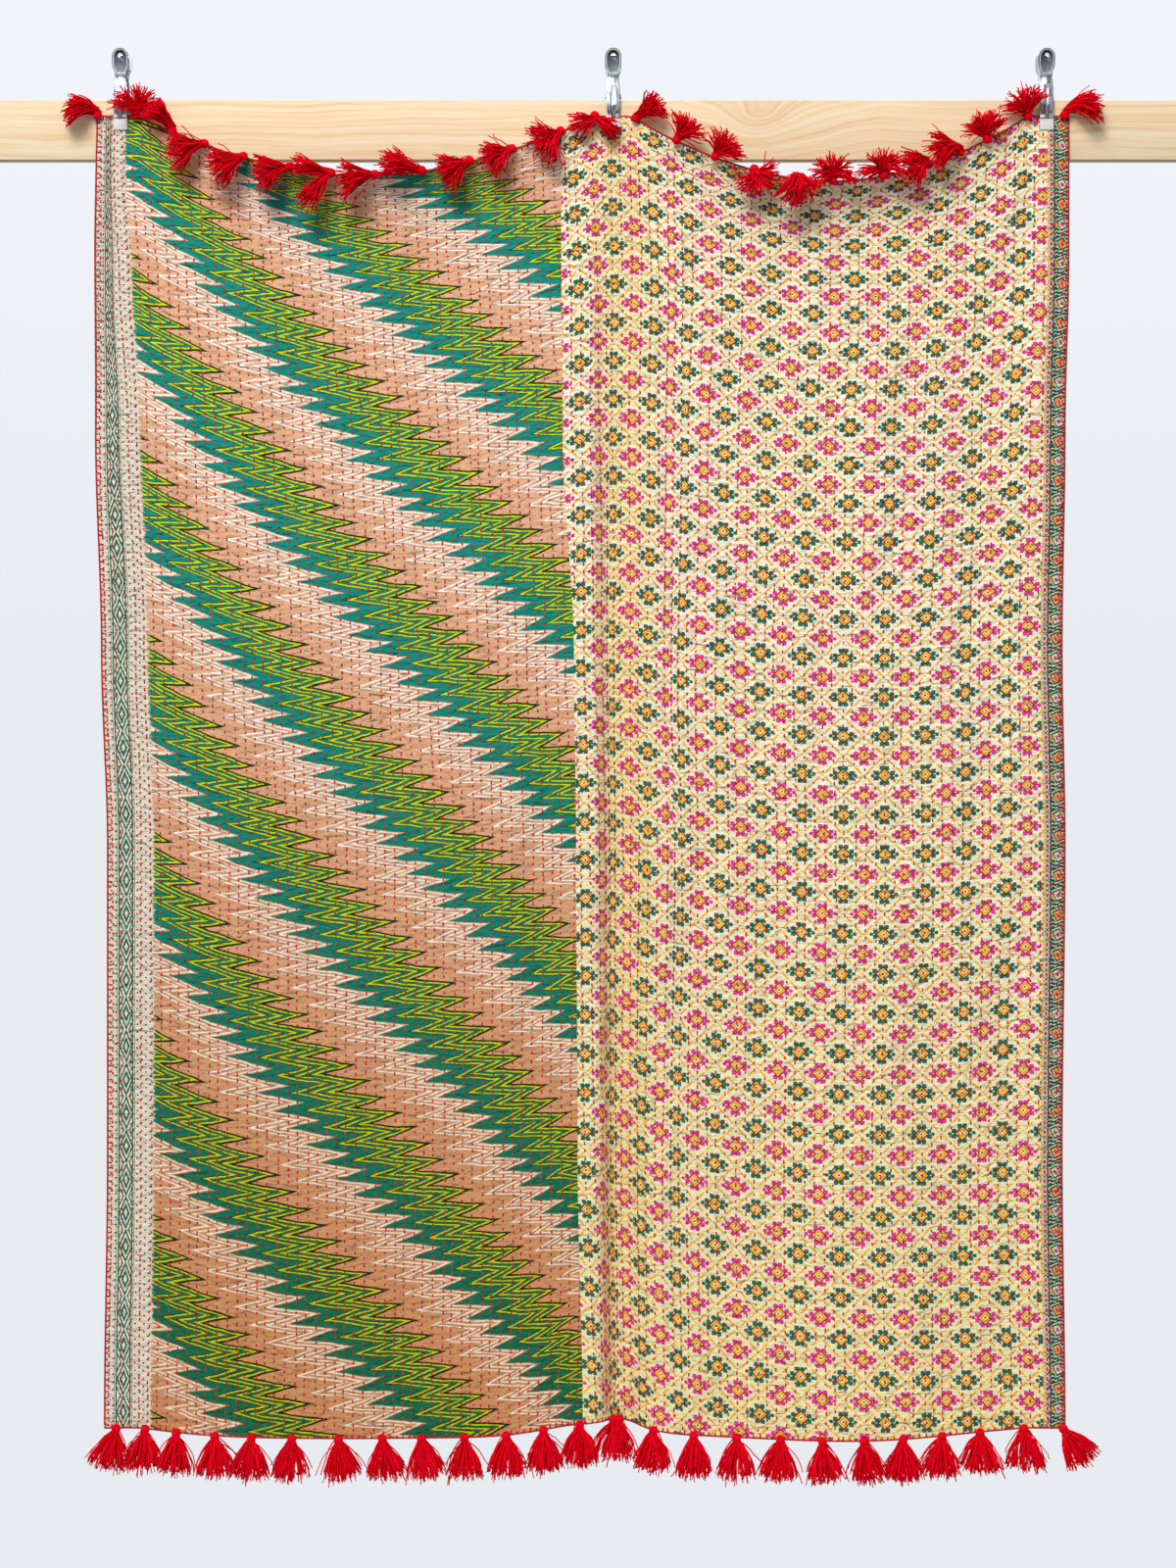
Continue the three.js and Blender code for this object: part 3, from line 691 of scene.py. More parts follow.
flowerInks = {
    "ground": "F5F0CD",
    "blush": "F6ECD3",
    "straw": "EDE2A8",
    "orange": "F6AE34",
    "white": "FBF7EA",
    "green": "1B6656",
    "pink": "E2358F",
    "greenRim": "0B3B31",
    "pinkRim": "8C1F58",
    "dash": "F2A81C",
}


def flowerColour(tree, printed, cut):
    inks = {name: fromHex(code) for name, code in flowerInks.items()}
    half = flower["pitch"] / 2 * mm
    shifted = addNode(tree, "VectorMath", {
        0: printed, 1: (flower["across"] * mm, flower["down"] * mm, 0),
    }, operation="SUBTRACT")[0]
    u, v, _ = addNode(tree, "SeparateXYZ", {0: shifted})
    v = addNode(tree, "Math", {0: v, 1: flower["squash"]}, operation="MULTIPLY")[0]
    a = addNode(tree, "Math", {0: u, 1: half}, operation="PINGPONG")[0]
    b = addNode(tree, "Math", {0: v, 1: half}, operation="PINGPONG")[0]
    reach = addNode(tree, "Math", {0: a, 1: b}, operation="ADD")[0]
    isPink = addNode(tree, "Math", {0: reach, 1: half}, operation="GREATER_THAN")[0]
    fromGreen = addNode(tree, "CombineXYZ", {0: a, 1: b})[0]
    fromPink = addNode(tree, "VectorMath", {0: (half, half, 0), 1: fromGreen}, operation="SUBTRACT")[0]
    spot = addNode(tree, "Mix", {0: isPink, 4: fromGreen, 5: fromPink}, data_type="VECTOR")[1]
    p, q, _ = addNode(tree, "SeparateXYZ", {0: spot})
    ink = addNode(tree, "Mix", {0: isPink, 6: inks["green"], 7: inks["pink"]}, data_type="RGBA")[2]

    broad = addNode(tree, "TexNoise", {0: cut, "Scale": 1 / (flower["blushPatch"] * mm), "Detail": 2.0})[0]
    low, high = flower["blushRange"]
    blushed = addNode(tree, "MapRange", {0: broad, 1: low, 2: high})[0]
    fromEdge, fromTop, _ = addNode(tree, "SeparateXYZ", {0: cut})
    begun, done, most = flower["hemTintSpan"]
    tintShare = addNode(tree, "MapRange", {0: fromTop, 1: begun * mm, 2: done * mm, 3: 0.0, 4: most})[0]

    # Painted shade: inside the pleat the ground is drawn towards straw, darker and yellower, as the fold's
    # shade
    pleat = flower["pleat"]
    offPleat = addNode(tree, "Math", {0: fromEdge, 1: pleat["at"] * mm}, operation="SUBTRACT")[0]
    offPleat = addNode(tree, "Math", {0: offPleat}, operation="ABSOLUTE")[0]
    paintedPleatShade = addNode(tree, "MapRange", {
        0: offPleat, 1: pleat["reach"] * mm, 2: pleat["core"] * mm, 3: 0.0, 4: pleat["tinted"],
    })[0]
    # the painted pleat shade is added to the share of the tint towards the hem
    tintShare = addNode(tree, "Math", {0: tintShare, 1: paintedPleatShade}, operation="ADD")[0]
    colour = addNode(tree, "Mix", {0: blushed, 6: inks["ground"], 7: inks["blush"]}, data_type="RGBA")[2]
    colour = addNode(tree, "Mix", {0: tintShare, 6: colour, 7: inks["straw"]}, data_type="RGBA")[2]

    # Dashes along the lattice, and short ones clustered at its crossings
    outward = addNode(tree, "Math", {0: p, 1: q}, operation="ADD")[0]
    sideways = addNode(tree, "Math", {0: p, 1: q}, operation="SUBTRACT")[0]
    sideways = addNode(tree, "Math", {0: sideways}, operation="ABSOLUTE")[0]
    onLine = addNode(tree, "Math", {0: outward, 1: half - flower["dash"] * mm}, operation="GREATER_THAN")[0]
    middle, long = flower["dashAlong"]
    onDash = addNode(tree, "Math", {0: sideways, 1: middle * mm, 2: long * mm}, operation="COMPARE")[0]
    dashes = addNode(tree, "Math", {0: onLine, 1: onDash}, operation="MULTIPLY")[0]
    below = addNode(tree, "Math", {0: a, 1: b}, operation="LESS_THAN")[0]
    crossing = addNode(tree, "Mix", {0: below, 4: (half, 0, 0), 5: (0, half, 0)}, data_type="VECTOR")[1]
    crossing = addNode(tree, "VectorMath", {0: crossing, 1: fromGreen}, operation="SUBTRACT")[0]
    crossing = addNode(tree, "VectorMath", {0: crossing}, operation="ABSOLUTE")[0]
    crossX, crossY, _ = addNode(tree, "SeparateXYZ", {0: crossing})
    halfLong, halfThin = [size * mm for size in flower["short"]]
    for x, y in flower["shorts"]:
        onLong = addNode(tree, "Math", {0: crossX, 1: x * mm, 2: halfLong}, operation="COMPARE")[0]
        onThin = addNode(tree, "Math", {0: crossY, 1: y * mm, 2: halfThin}, operation="COMPARE")[0]
        short = addNode(tree, "Math", {0: onLong, 1: onThin}, operation="MULTIPLY")[0]
        dashes = addNode(tree, "Math", {0: dashes, 1: short}, operation="MAXIMUM")[0]

    # Petals, outer beads and the turned square
    shape = addNode(tree, "Math", {0: outward, 1: flower["rim"] * mm}, operation="LESS_THAN")[0]
    for x, y in flower["petals"]:
        off = addNode(tree, "VectorMath", {0: spot, 1: (x * mm, y * mm, 0)}, operation="SUBTRACT")[0]
        off = addNode(tree, "VectorMath", {0: off}, operation="ABSOLUTE")[0]
        offX, offY, _ = addNode(tree, "SeparateXYZ", {0: off})
        wide = addNode(tree, "Math", {
            0: offX, 1: offY, 2: flower["petalRounding"] * mm,
        }, operation="SMOOTH_MAX")[0]
        petal = addNode(tree, "Math", {0: wide, 1: flower["petal"] * mm}, operation="LESS_THAN")[0]
        shape = addNode(tree, "Math", {0: shape, 1: petal}, operation="MAXIMUM")[0]
    fromBead = addNode(tree, "VectorMath", {
        0: spot, 1: (flower["beadOut"] * mm, 0, 0),
    }, operation="DISTANCE")["Value"]
    bead = addNode(tree, "Math", {0: fromBead, 1: flower["bead"] * mm}, operation="LESS_THAN")[0]
    shape = addNode(tree, "Math", {0: shape, 1: bead}, operation="MAXIMUM")[0]
    rimInk = addNode(tree, "Mix", {0: isPink, 6: inks["greenRim"], 7: inks["pinkRim"]}, data_type="RGBA")[2]
    layers = [(dashes, inks["dash"]), (shape, ink)]
    for size, layerInk in (
        (flower["rim"] - flower["rimLine"], rimInk),
        (flower["square"], inks["orange"]),
        (flower["eye"], inks["white"]),
    ):
        layers.append((addNode(tree, "Math", {0: outward, 1: size * mm}, operation="LESS_THAN")[0], layerInk))
    middle = addNode(tree, "VectorMath", {0: spot}, operation="LENGTH")["Value"]
    pupil = addNode(tree, "Math", {0: middle, 1: flower["pupil"] * mm}, operation="LESS_THAN")[0]
    for mask, layerInk in (*layers, (pupil, rimInk)):
        colour = addNode(tree, "Mix", {0: mask, 6: colour, 7: layerInk}, data_type="RGBA")[2]
    return colour


# The right border, from the edge inwards: a green band with slanted lozenges, a line, a narrow strip
# and a yellow line
rightBorder = {
    "bandMiddle": 9.2,
    "pitch": 26.6,
    "turn": -24,  # degrees that the lozenges lean
    "lozenge": (3.9, 5.3),  # half width and half height
    # its rings from the outside in, in halves of its own size
    "rings": ((1.75, "cream"), (1.45, "darkGreen"), (1.06, "lozenge"), (0.5, "pink")),
    "rounding": 0.4,
    "scroll": 3.3,  # half way from one cream scroll to the next
    "scrollWave": 9,
    "scrollBend": 1.7,
    "scrollHalf": 0.85,
    # an orange point beside each cream lozenge: its tip, its foot, half the foot's height
    "wedge": (15.6, 18.8, 7.5),
    "lines": ((18.6, 20.6, "darkGreen"), (27.4, 29.4, "yellow")),
    "stripStart": 19.5,
    "stripMiddle": 23.8,
    "stripPitch": 13.3,
    "oval": 1.9,
    "ovalSquash": 0.62,
    "crossArm": 0.8,
    "crossReach": 2.9,
    "wander": (1.5, 0.8),
    "inks": {
        "green": "0F4A3D", "cream": "CFD0AF", "orange": "EE9E38", "pink": "CC2F7C",
        "darkGreen": "0E463A", "yellow": "F2B436",
    },
}


def rightBorderColour(tree, printed):
    inks = {name: fromHex(code) for name, code in rightBorder["inks"].items()}
    pitch = rightBorder["pitch"] * mm
    u, v, _ = addNode(tree, "SeparateXYZ", {0: printed})
    out = addNode(tree, "Math", {0: u, 1: rightBorder["bandMiddle"] * mm}, operation="SUBTRACT")[0]
    turns = addNode(tree, "Math", {0: v, 1: 1 / pitch}, operation="MULTIPLY")[0]
    count = addNode(tree, "Math", {0: turns}, operation="FLOOR")[0]
    odd = addNode(tree, "Math", {0: count, 1: 2.0}, operation="FLOORED_MODULO")[0]
    part = addNode(tree, "Math", {0: turns}, operation="FRACT")[0]
    along = addNode(tree, "Math", {0: part, 1: pitch, 2: -0.5 * pitch}, operation="MULTIPLY_ADD")[0]
    spot = addNode(tree, "CombineXYZ", {0: out, 1: along})[0]
    leaning = addNode(tree, "VectorRotate", {
        0: spot, "Angle": math.radians(rightBorder["turn"]),
    }, rotation_type="Z_AXIS")[0]
    wide, tall, _ = addNode(tree, "SeparateXYZ", {0: leaning})

    # Cream scrolls on the green, then slanted lozenges, orange and cream by turns, each with a pink middle
    wave = 2 * math.pi / (rightBorder["scrollWave"] * mm)
    bent = addNode(tree, "Math", {0: wide, 1: wave}, operation="MULTIPLY")[0]
    bent = addNode(tree, "Math", {0: bent}, operation="SINE")[0]
    curl = addNode(tree, "Math", {
        0: bent, 1: rightBorder["scrollBend"] * mm, 2: tall,
    }, operation="MULTIPLY_ADD")[0]
    curl = addNode(tree, "Math", {0: curl, 1: rightBorder["scroll"] * mm}, operation="PINGPONG")[0]
    scroll = addNode(tree, "Math", {0: curl, 1: rightBorder["scrollHalf"] * mm}, operation="LESS_THAN")[0]
    band = addNode(tree, "Mix", {0: scroll, 6: inks["green"], 7: inks["cream"]}, data_type="RGBA")[2]
    halfWide, halfTall = rightBorder["lozenge"]
    size = addNode(tree, "VectorMath", {
        0: leaning, 1: (1 / (halfWide * mm), 1 / (halfTall * mm), 0),
    }, operation="MULTIPLY")[0]
    size = addNode(tree, "VectorMath", {0: size}, operation="ABSOLUTE")[0]
    sizeX, sizeY, _ = addNode(tree, "SeparateXYZ", {0: size})
    size = addNode(tree, "Math", {0: sizeX, 1: sizeY, 2: rightBorder["rounding"]}, operation="SMOOTH_MAX")[0]
    inks["lozenge"] = addNode(tree, "Mix", {0: odd, 6: inks["orange"], 7: inks["cream"]}, data_type="RGBA")[2]
    for limit, name in rightBorder["rings"]:
        inside = addNode(tree, "Math", {0: size, 1: limit}, operation="LESS_THAN")[0]
        band = addNode(tree, "Mix", {0: inside, 6: band, 7: inks[name]}, data_type="RGBA")[2]
    tip, foot, rise = [c * mm for c in rightBorder["wedge"]]
    point = addNode(tree, "MapRange", {0: u, 1: tip, 2: foot, 3: 0.0, 4: rise})[0]
    point = addNode(tree, "Math", {0: point, 1: odd}, operation="MULTIPLY")[0]
    upright = addNode(tree, "Math", {0: along}, operation="ABSOLUTE")[0]
    wedge = addNode(tree, "Math", {0: upright, 1: point}, operation="LESS_THAN")[0]
    band = addNode(tree, "Mix", {0: wedge, 6: band, 7: inks["orange"]}, data_type="RGBA")[2]

    # Pink ovals and green crosses by turns down the narrow strip
    aside = addNode(tree, "Math", {0: u, 1: rightBorder["stripMiddle"] * mm}, operation="SUBTRACT")[0]
    aside = addNode(tree, "Math", {0: aside}, operation="ABSOLUTE")[0]
    half = rightBorder["stripPitch"] / 2 * mm
    fromOval = addNode(tree, "Math", {0: v, 1: half}, operation="PINGPONG")[0]
    fromCross = addNode(tree, "Math", {0: half, 1: fromOval}, operation="SUBTRACT")[0]
    oval = addNode(tree, "CombineXYZ", {0: aside, 1: fromOval})[0]
    squash = (1.0, rightBorder["ovalSquash"], 1.0)
    oval = addNode(tree, "VectorMath", {0: oval, 1: squash}, operation="MULTIPLY")[0]
    oval = addNode(tree, "VectorMath", {0: oval}, operation="LENGTH")["Value"]
    oval = addNode(tree, "Math", {0: oval, 1: rightBorder["oval"] * mm}, operation="LESS_THAN")[0]
    arm = rightBorder["crossArm"] * mm
    arms = addNode(tree, "Math", {0: aside, 1: fromCross, 2: arm}, operation="COMPARE")[0]
    close = addNode(tree, "Math", {0: fromCross, 1: rightBorder["crossReach"] * mm}, operation="LESS_THAN")[0]
    cross = addNode(tree, "Math", {0: arms, 1: close}, operation="MULTIPLY")[0]
    strip = addNode(tree, "Mix", {0: oval, 6: inks["cream"], 7: inks["pink"]}, data_type="RGBA")[2]
    strip = addNode(tree, "Mix", {0: cross, 6: strip, 7: inks["green"]}, data_type="RGBA")[2]

    inStrip = addNode(tree, "Math", {0: u, 1: rightBorder["stripStart"] * mm}, operation="GREATER_THAN")[0]
    colour = addNode(tree, "Mix", {0: inStrip, 6: band, 7: strip}, data_type="RGBA")[2]
    for start, stop, name in rightBorder["lines"]:
        line = addNode(tree, "Math", {
            0: u, 1: (start + stop) / 2 * mm, 2: (stop - start) / 2 * mm,
        }, operation="COMPARE")[0]
        colour = addNode(tree, "Mix", {0: line, 6: colour, 7: inks[name]}, data_type="RGBA")[2]
    return colour


def flowerCotton():
    material, tree = newMaterial("block printed flower cotton")
    cut = addNode(tree, "UVMap", uv_map="cut")[0]
    lain = addNode(tree, "UVMap", uv_map="print")[0]
    field = flowerColour(tree, wander(tree, lain, *flower["wander"]), cut)
    border = rightBorderColour(tree, wander(tree, cut, *rightBorder["wander"]))
    u = addNode(tree, "SeparateXYZ", {0: cut})[0]
    inField = addNode(tree, "Math", {0: u, 1: flower["border"] * mm}, operation="GREATER_THAN")[0]
    colour = addNode(tree, "Mix", {0: inField, 6: border, 7: field}, data_type="RGBA")[2]
    finishCotton(tree, colour, cut)
    return material


# The unseen back: plain unbleached cotton, with the same rows of running stitches showing through
plainBack = {
    "inks": ("E6D9C0", "B01C2E"),
    "stitch": 10.6,  # from one stitch to the next
    "stitchShare": 0.3,
    "rowShare": 0.055,
}


def backCotton():
    material, tree = newMaterial("unbleached cotton back")
    cut = addNode(tree, "UVMap", uv_map="cut")[0]
    u, v, _ = addNode(tree, "SeparateXYZ", {0: cut})
    row = addNode(tree, "Math", {0: u, 1: 1 / (cloth["stitchPitch"] * mm)}, operation="MULTIPLY")[0]
    count = addNode(tree, "Math", {0: row}, operation="FLOOR")[0]
    part = addNode(tree, "Math", {0: row}, operation="FRACT")[0]
    onRow = addNode(tree, "Math", {0: part, 1: 0.5, 2: plainBack["rowShare"]}, operation="COMPARE")[0]
    shift = addNode(tree, "TexWhiteNoise", {"W": count}, noise_dimensions="1D")[0]
    close = 1 / (plainBack["stitch"] * mm)
    spot = addNode(tree, "Math", {0: v, 1: close, 2: shift}, operation="MULTIPLY_ADD")[0]
    spot = addNode(tree, "Math", {0: spot}, operation="FRACT")[0]
    onStitch = addNode(tree, "Math", {0: spot, 1: plainBack["stitchShare"]}, operation="LESS_THAN")[0]
    stitched = addNode(tree, "Math", {0: onRow, 1: onStitch}, operation="MULTIPLY")[0]
    plain, red = [fromHex(code) for code in plainBack["inks"]]
    colour = addNode(tree, "Mix", {0: stitched, 6: plain, 7: red}, data_type="RGBA")[2]
    finishCotton(tree, colour, cut)
    return material


panels = {
    "panel_zigzag": {"from": "left", "to": "seam", "outer": "from", "columns": 220},
    "panel_diamond": {"from": "seam", "to": "right", "outer": "to", "columns": 220},
}
grids = {name: layPanel(name, panel) for name, panel in panels.items()}
back = backCotton()
clothPieces = {
    "panel_zigzag": panelMesh("zigzagPanel", grids["panel_zigzag"], [zigzagCotton(), back]),
    "panel_diamond": panelMesh("flowerPanel", grids["panel_diamond"], [flowerCotton(), back]),
}
print("panels laid")


# Sewing thread
# Red cotton embroidery thread: matt, darker and brighter in patches
sewingThread = {"patch": 16.6667, "shades": ((0.35, "A80318"), (0.65, "CC0820"))}


def redThread():
    material, tree = newMaterial("red embroidery cotton")
    place = addNode(tree, "TexCoord")["Object"]
    scale = 1 / (sewingThread["patch"] * mm)
    patchy = addNode(tree, "TexNoise", {0: place, "Scale": scale, "Detail": 2.0})[0]
    ramp = addNode(tree, "ValToRGB", {0: patchy})
    setRamp(ramp[0].node.color_ramp, sewingThread["shades"], "LINEAR")
    shader = addNode(tree, "BsdfPrincipled", {"Base Color": ramp[0], "Roughness": 0.7})[0]
    addNode(tree, "OutputMaterial", {"Surface": shader})
    return material


# Points on a panel's front, from places in its cut (metres), stopping just short of its last row and column
justShort = 1.001


def onFront(grid, u, v):
    rows, columns = grid["cutU"].shape
    row = np.clip(np.interp(v, grid["rows"], np.arange(rows)), 0, rows - justShort)
    upper = row.astype(int)
    share = (row - upper)[:, None]
    way = -1 if grid["cutU"][0, 0] > grid["cutU"][0, -1] else 1
    column = np.empty(len(u))
    for j in np.unique(upper):
        chosen = upper == j
        column[chosen] = np.interp(u[chosen], grid["cutU"][j][::way], np.arange(columns)[::way])
    column = np.clip(column, 0, columns - justShort)
    left = column.astype(int)
    part = (column - left)[:, None]
    front = grid["front"]
    above = front[upper, left] * (1 - part) + front[upper, left + 1] * part
    below = front[upper + 1, left] * (1 - part) + front[upper + 1, left + 1] * part
    return above * (1 - share) + below * share


# Each stitch is a plump ridge of six points, lying on the cloth from head to foot
ridge = {
    "sunk": 0.25,  # into the cloth, as a share of its lift
    "crown": 0.22,  # where it is full, as a share of its length from each end
    "faces": ((0, 3, 5), (0, 5, 4), (1, 4, 5), (1, 5, 2), (0, 4, 1), (3, 2, 5), (0, 1, 2), (0, 2, 3)),
}


def stitchMesh(name, heads, feet, form, material):
    width, lift = form["width"] * mm, form["lift"] * mm
    run = feet - heads
    forward = np.array([0.0, -1.0, 0.0])
    side = np.cross(run, forward)
    side = side / np.linalg.norm(side, axis=1, keepdims=True) * width / 2
    sunk = -ridge["sunk"] * lift * forward
    crown = forward * lift
    points = np.stack([
        heads - side + sunk, heads + side + sunk, feet + side + sunk, feet - side + sunk,
        heads + ridge["crown"] * run + crown, feet - ridge["crown"] * run + crown,
    ], axis=1).reshape(-1, 3)
    pattern = np.array(ridge["faces"])
    faces = (pattern[None] + 6 * np.arange(len(heads))[:, None, None]).reshape(-1, 3)
    return meshPiece(name, points, faces, [material])


running = {
    "length": 4.8,
    "pitch": 10.6,
    "width": 2.7,
    "lift": 0.8,
    "margin": 9.0,
    "uneven": 1.1,
    "bend": 1.3,  # how far a row strays, in waves of these lengths
    "bendWaves": (90, 240),
    "stray": 0.3,
    "lengths": (0.7, 1.25),
    "lean": 0.35,
    "endClear": 5,
    "edgeClear": 3,
    "seamClear": 4,
    "seed": 7,
}


def runningStitches(name, grid, material):
    dice = np.random.default_rng(running["seed"] + len(name))
    width = grid["cutU"].max() / mm
    heads, feet = [], []
    for start in np.arange(cloth["stitchPitch"] / 2, width - running["seamClear"], cloth["stitchPitch"]):
        count = int((cloth["length"] - 2 * running["margin"]) / running["pitch"])
        v = running["margin"] + running["pitch"] * (np.arange(count) + dice.uniform(0, 1))
        v = v + dice.normal(0, running["uneven"], count)
        bend = np.sin(v / dice.uniform(*running["bendWaves"]) + dice.uniform(0, 6))
        u = start + running["bend"] * bend + dice.normal(0, running["stray"], count)
        long = running["length"] * dice.uniform(*running["lengths"], count)
        lean = dice.normal(0, running["lean"], count)
        keep = (v > running["endClear"]) & (v + long < cloth["length"] - running["endClear"])
        keep = keep & (u > running["edgeClear"])
        heads.append(np.stack([u, v], axis=1)[keep])
        feet.append(np.stack([u + lean, v + long], axis=1)[keep])
    heads = np.concatenate(heads) * mm
    feet = np.concatenate(feet) * mm
    row = np.searchsorted(grid["rows"], heads[:, 1]).clip(0, len(grid["rows"]) - 1)
    seen = heads[:, 0] < grid["cutU"][row].max(axis=1) - running["edgeClear"] * mm
    return stitchMesh(name, onFront(grid, *heads[seen].T), onFront(grid, *feet[seen].T), running, material)


# Blanket stitch round the three free edges: a thread along the edge and a tooth at every step
blanket = {
    "pitch": 8.6,
    "tooth": 6.2,
    "width": 2.7,
    "lift": 1.0,
    "uneven": 0.9,
    "endClear": 1.0,
    "teeth": (0.7, 1.2),
    "slip": 0.5,
    "root": 0.3,  # from the edge to a tooth's root, and to the thread along it
    "thread": 0.7,
    "overlap": 0.3,
    "seed": 21,
}


def blanketStitches(name, grid, material):
    dice = np.random.default_rng(blanket["seed"])
    length = cloth["length"]
    heads, feet = [], []

    def sew(edgeAt, total):
        count = int(math.ceil(total / blanket["pitch"]))
        stops = np.arange(0, total, blanket["pitch"]) + dice.normal(0, blanket["uneven"], count)
        stops = np.clip(np.sort(stops), blanket["endClear"], total - blanket["endClear"])
        reach = blanket["tooth"] * dice.uniform(*blanket["teeth"], len(stops))
        slip = dice.normal(0, blanket["slip"], len(stops))
        along = np.full(len(stops) - 1, blanket["thread"])
        heads.extend(edgeAt(stops, np.full(len(stops), blanket["root"])))
        feet.extend(edgeAt(stops + slip, reach))
        heads.extend(edgeAt(stops[:-1] - blanket["overlap"], along))
        feet.extend(edgeAt(stops[1:] + blanket["overlap"], along))

    sew(lambda s, inward: zip(s, inward), grid["cutU"][0].max() / mm)
    sew(lambda s, inward: zip(s, length - inward), grid["cutU"][-1].max() / mm)
    sew(lambda s, inward: zip(inward, s), length)
    heads = np.array(heads) * mm
    feet = np.array(feet) * mm
    return stitchMesh(name, onFront(grid, *heads.T), onFront(grid, *feet.T), blanket, material)


thread = redThread()
sewing = {}
for node, label in (("panel_zigzag", "zigzag"), ("panel_diamond", "flower")):
    sewing[node] = [
        runningStitches(label + "Stitches", grids[node], thread),
        blanketStitches(label + "Edging", grids[node], thread),
    ]
print("stitches sewn")


# Yarn tassels
# Loosely spun red cotton yarn: matt, twisted, each strand a shade of its own, dark between strands
yarn = {
    "shades": ((0.0, "D40017"), (0.5, "F0001B"), (1.0, "FF0424")),
    "twist": 3.2,  # length of one turn of the plies
    "plyHeight": 0.8,
    "thick": 0.95,
    "thicknesses": (0.8, 1.15),
    "taper": (1.08, 0.2),
    "sides": 3,
    "aside": (0.31, -0.9, 0.22),  # no strand runs straight along it
    "sideStep": 3.2,  # each side is one turn divided by this further on in the twist
    "points": 7,
    "length": 50,
    "neck": 2.0,
    "root": 0.5,  # shares of the head's height and of the strand's length
    "turn": 0.45,
    "ragged": 0.07,
    "strayFan": 1.4,
    "strayLengths": (0.8, 1.15),
    "ripples": (1.6, 1.2, 0.9),  # of one, two and three half waves along a strand
    "furthest": -97.5,
}


def redYarn():
    material, tree = newMaterial("red cotton yarn")
    shade = addNode(tree, "UVMap", uv_map="strand")[0]
    strand, along, _ = addNode(tree, "SeparateXYZ", {0: shade})
    own = addNode(tree, "Math", {0: strand}, operation="FLOOR")[0]
    chance = addNode(tree, "TexWhiteNoise", {"W": own}, noise_dimensions="1D")[0]
    ramp = addNode(tree, "ValToRGB", {0: chance})
    setRamp(ramp[0].node.color_ramp, yarn["shades"], "LINEAR")
    turned = addNode(tree, "Math", {
        0: along, 1: 1 / (yarn["twist"] * mm), 2: strand,
    }, operation="MULTIPLY_ADD")[0]
    ply = addNode(tree, "Math", {0: turned, 1: 0.5}, operation="PINGPONG")[0]
    plies = addNode(tree, "Bump", {"Strength": 0.5, "Distance": yarn["plyHeight"] * mm, "Height": ply})[0]
    shader = addNode(tree, "BsdfPrincipled", {
        "Base Color": ramp[0], "Roughness": 0.85, "Specular IOR Level": 0.06, "Normal": plies,
    })[0]
    addNode(tree, "OutputMaterial", {"Surface": shader})
    return material


# Strands are three sided tubes along smooth lines; lines has a row of points for each strand
def strandArrays(lines, radii):
    count, steps, _ = lines.shape
    sides = yarn["sides"]
    tangent = np.gradient(lines, axis=1)
    tangent = tangent / np.linalg.norm(tangent, axis=2, keepdims=True)
    across = np.cross(tangent, np.array(yarn["aside"]))
    across = across / np.linalg.norm(across, axis=2, keepdims=True)
    other = np.cross(tangent, across)
    turns = 2 * math.pi * np.arange(sides)[:, None] / sides
    ring = across[:, :, None] * np.cos(turns) + other[:, :, None] * np.sin(turns)
    points = (lines[:, :, None] + ring * radii[:, :, None, None]).reshape(-1, 3)
    first = sides * steps * np.arange(count)
    last = first + sides * (steps - 1)
    lower = first[:, None, None] + sides * np.arange(steps - 1)[None, :, None]
    upper = lower + sides
    corner = np.arange(sides)[None, None, :]
    following = (corner + 1) % sides
    walls = np.stack([lower + corner, lower + following, upper + following, upper + corner], axis=3)
    walls = walls.reshape(-1, 4)
    caps = [np.stack([first + 2, first + 1, first], axis=1), np.stack([last, last + 1, last + 2], axis=1)]
    triangles = np.concatenate([walls[:, [0, 1, 2]], walls[:, [0, 2, 3]], *caps])
    shape = (count, steps, sides)
    places = np.stack([
        np.broadcast_to(np.arange(count)[:, None, None] + corner / yarn["sideStep"], shape),
        np.broadcast_to(np.linspace(0, yarn["length"] * mm, steps)[None, :, None], shape),
    ], axis=3).reshape(-1, 2)
    return points, triangles, places


# A wound knot: a round head a little taller than wide, ribbed where the yarn turns over it
knot = {"radius": 6.2, "height": 6.4, "rings": 8, "sides": 16, "ribs": 8, "rib": 0.05, "wound": 60}
knotShades = {"first": 900, "count": 20}


def headArrays(centre, axis, dice):
    rings, sides = knot["rings"], knot["sides"]
    polar = np.linspace(0, math.pi, rings + 1)[1:-1]
    turn = 2 * math.pi * np.arange(sides) / sides
    side = np.cross(axis, np.array([0.0, -1.0, 0.0]))
    front = np.cross(side, axis)
    rib = 1 + knot["rib"] * np.cos(knot["ribs"] * turn + dice.uniform(0, 6))
    points = [centre - axis * knot["height"]]
    for angle in polar:
        wide = knot["radius"] * math.sin(angle)
        for k in range(sides):
            around = side * math.cos(turn[k]) + front * math.sin(turn[k])
            points.append(centre + around * wide * rib[k] - axis * knot["height"] * math.cos(angle))
    points.append(centre + axis * knot["height"])
    faces = []
    for k in range(sides):
        m = (k + 1) % sides
        faces.append((0, 1 + k, 1 + m))
        for r in range(rings - 2):
            a, b = 1 + r * sides, 1 + (r + 1) * sides
            faces.append((a + k, b + k, b + m))
            faces.append((a + k, b + m, a + m))
        base = 1 + (rings - 2) * sides
        faces.append((base + k, len(points) - 1, base + m))
    shades = knotShades["first"] + np.linspace(0, knotShades["count"], len(points))
    places = np.stack([shades, np.linspace(0, knot["wound"] * mm, len(points))], axis=1)
    return np.array(points), np.array(faces), places


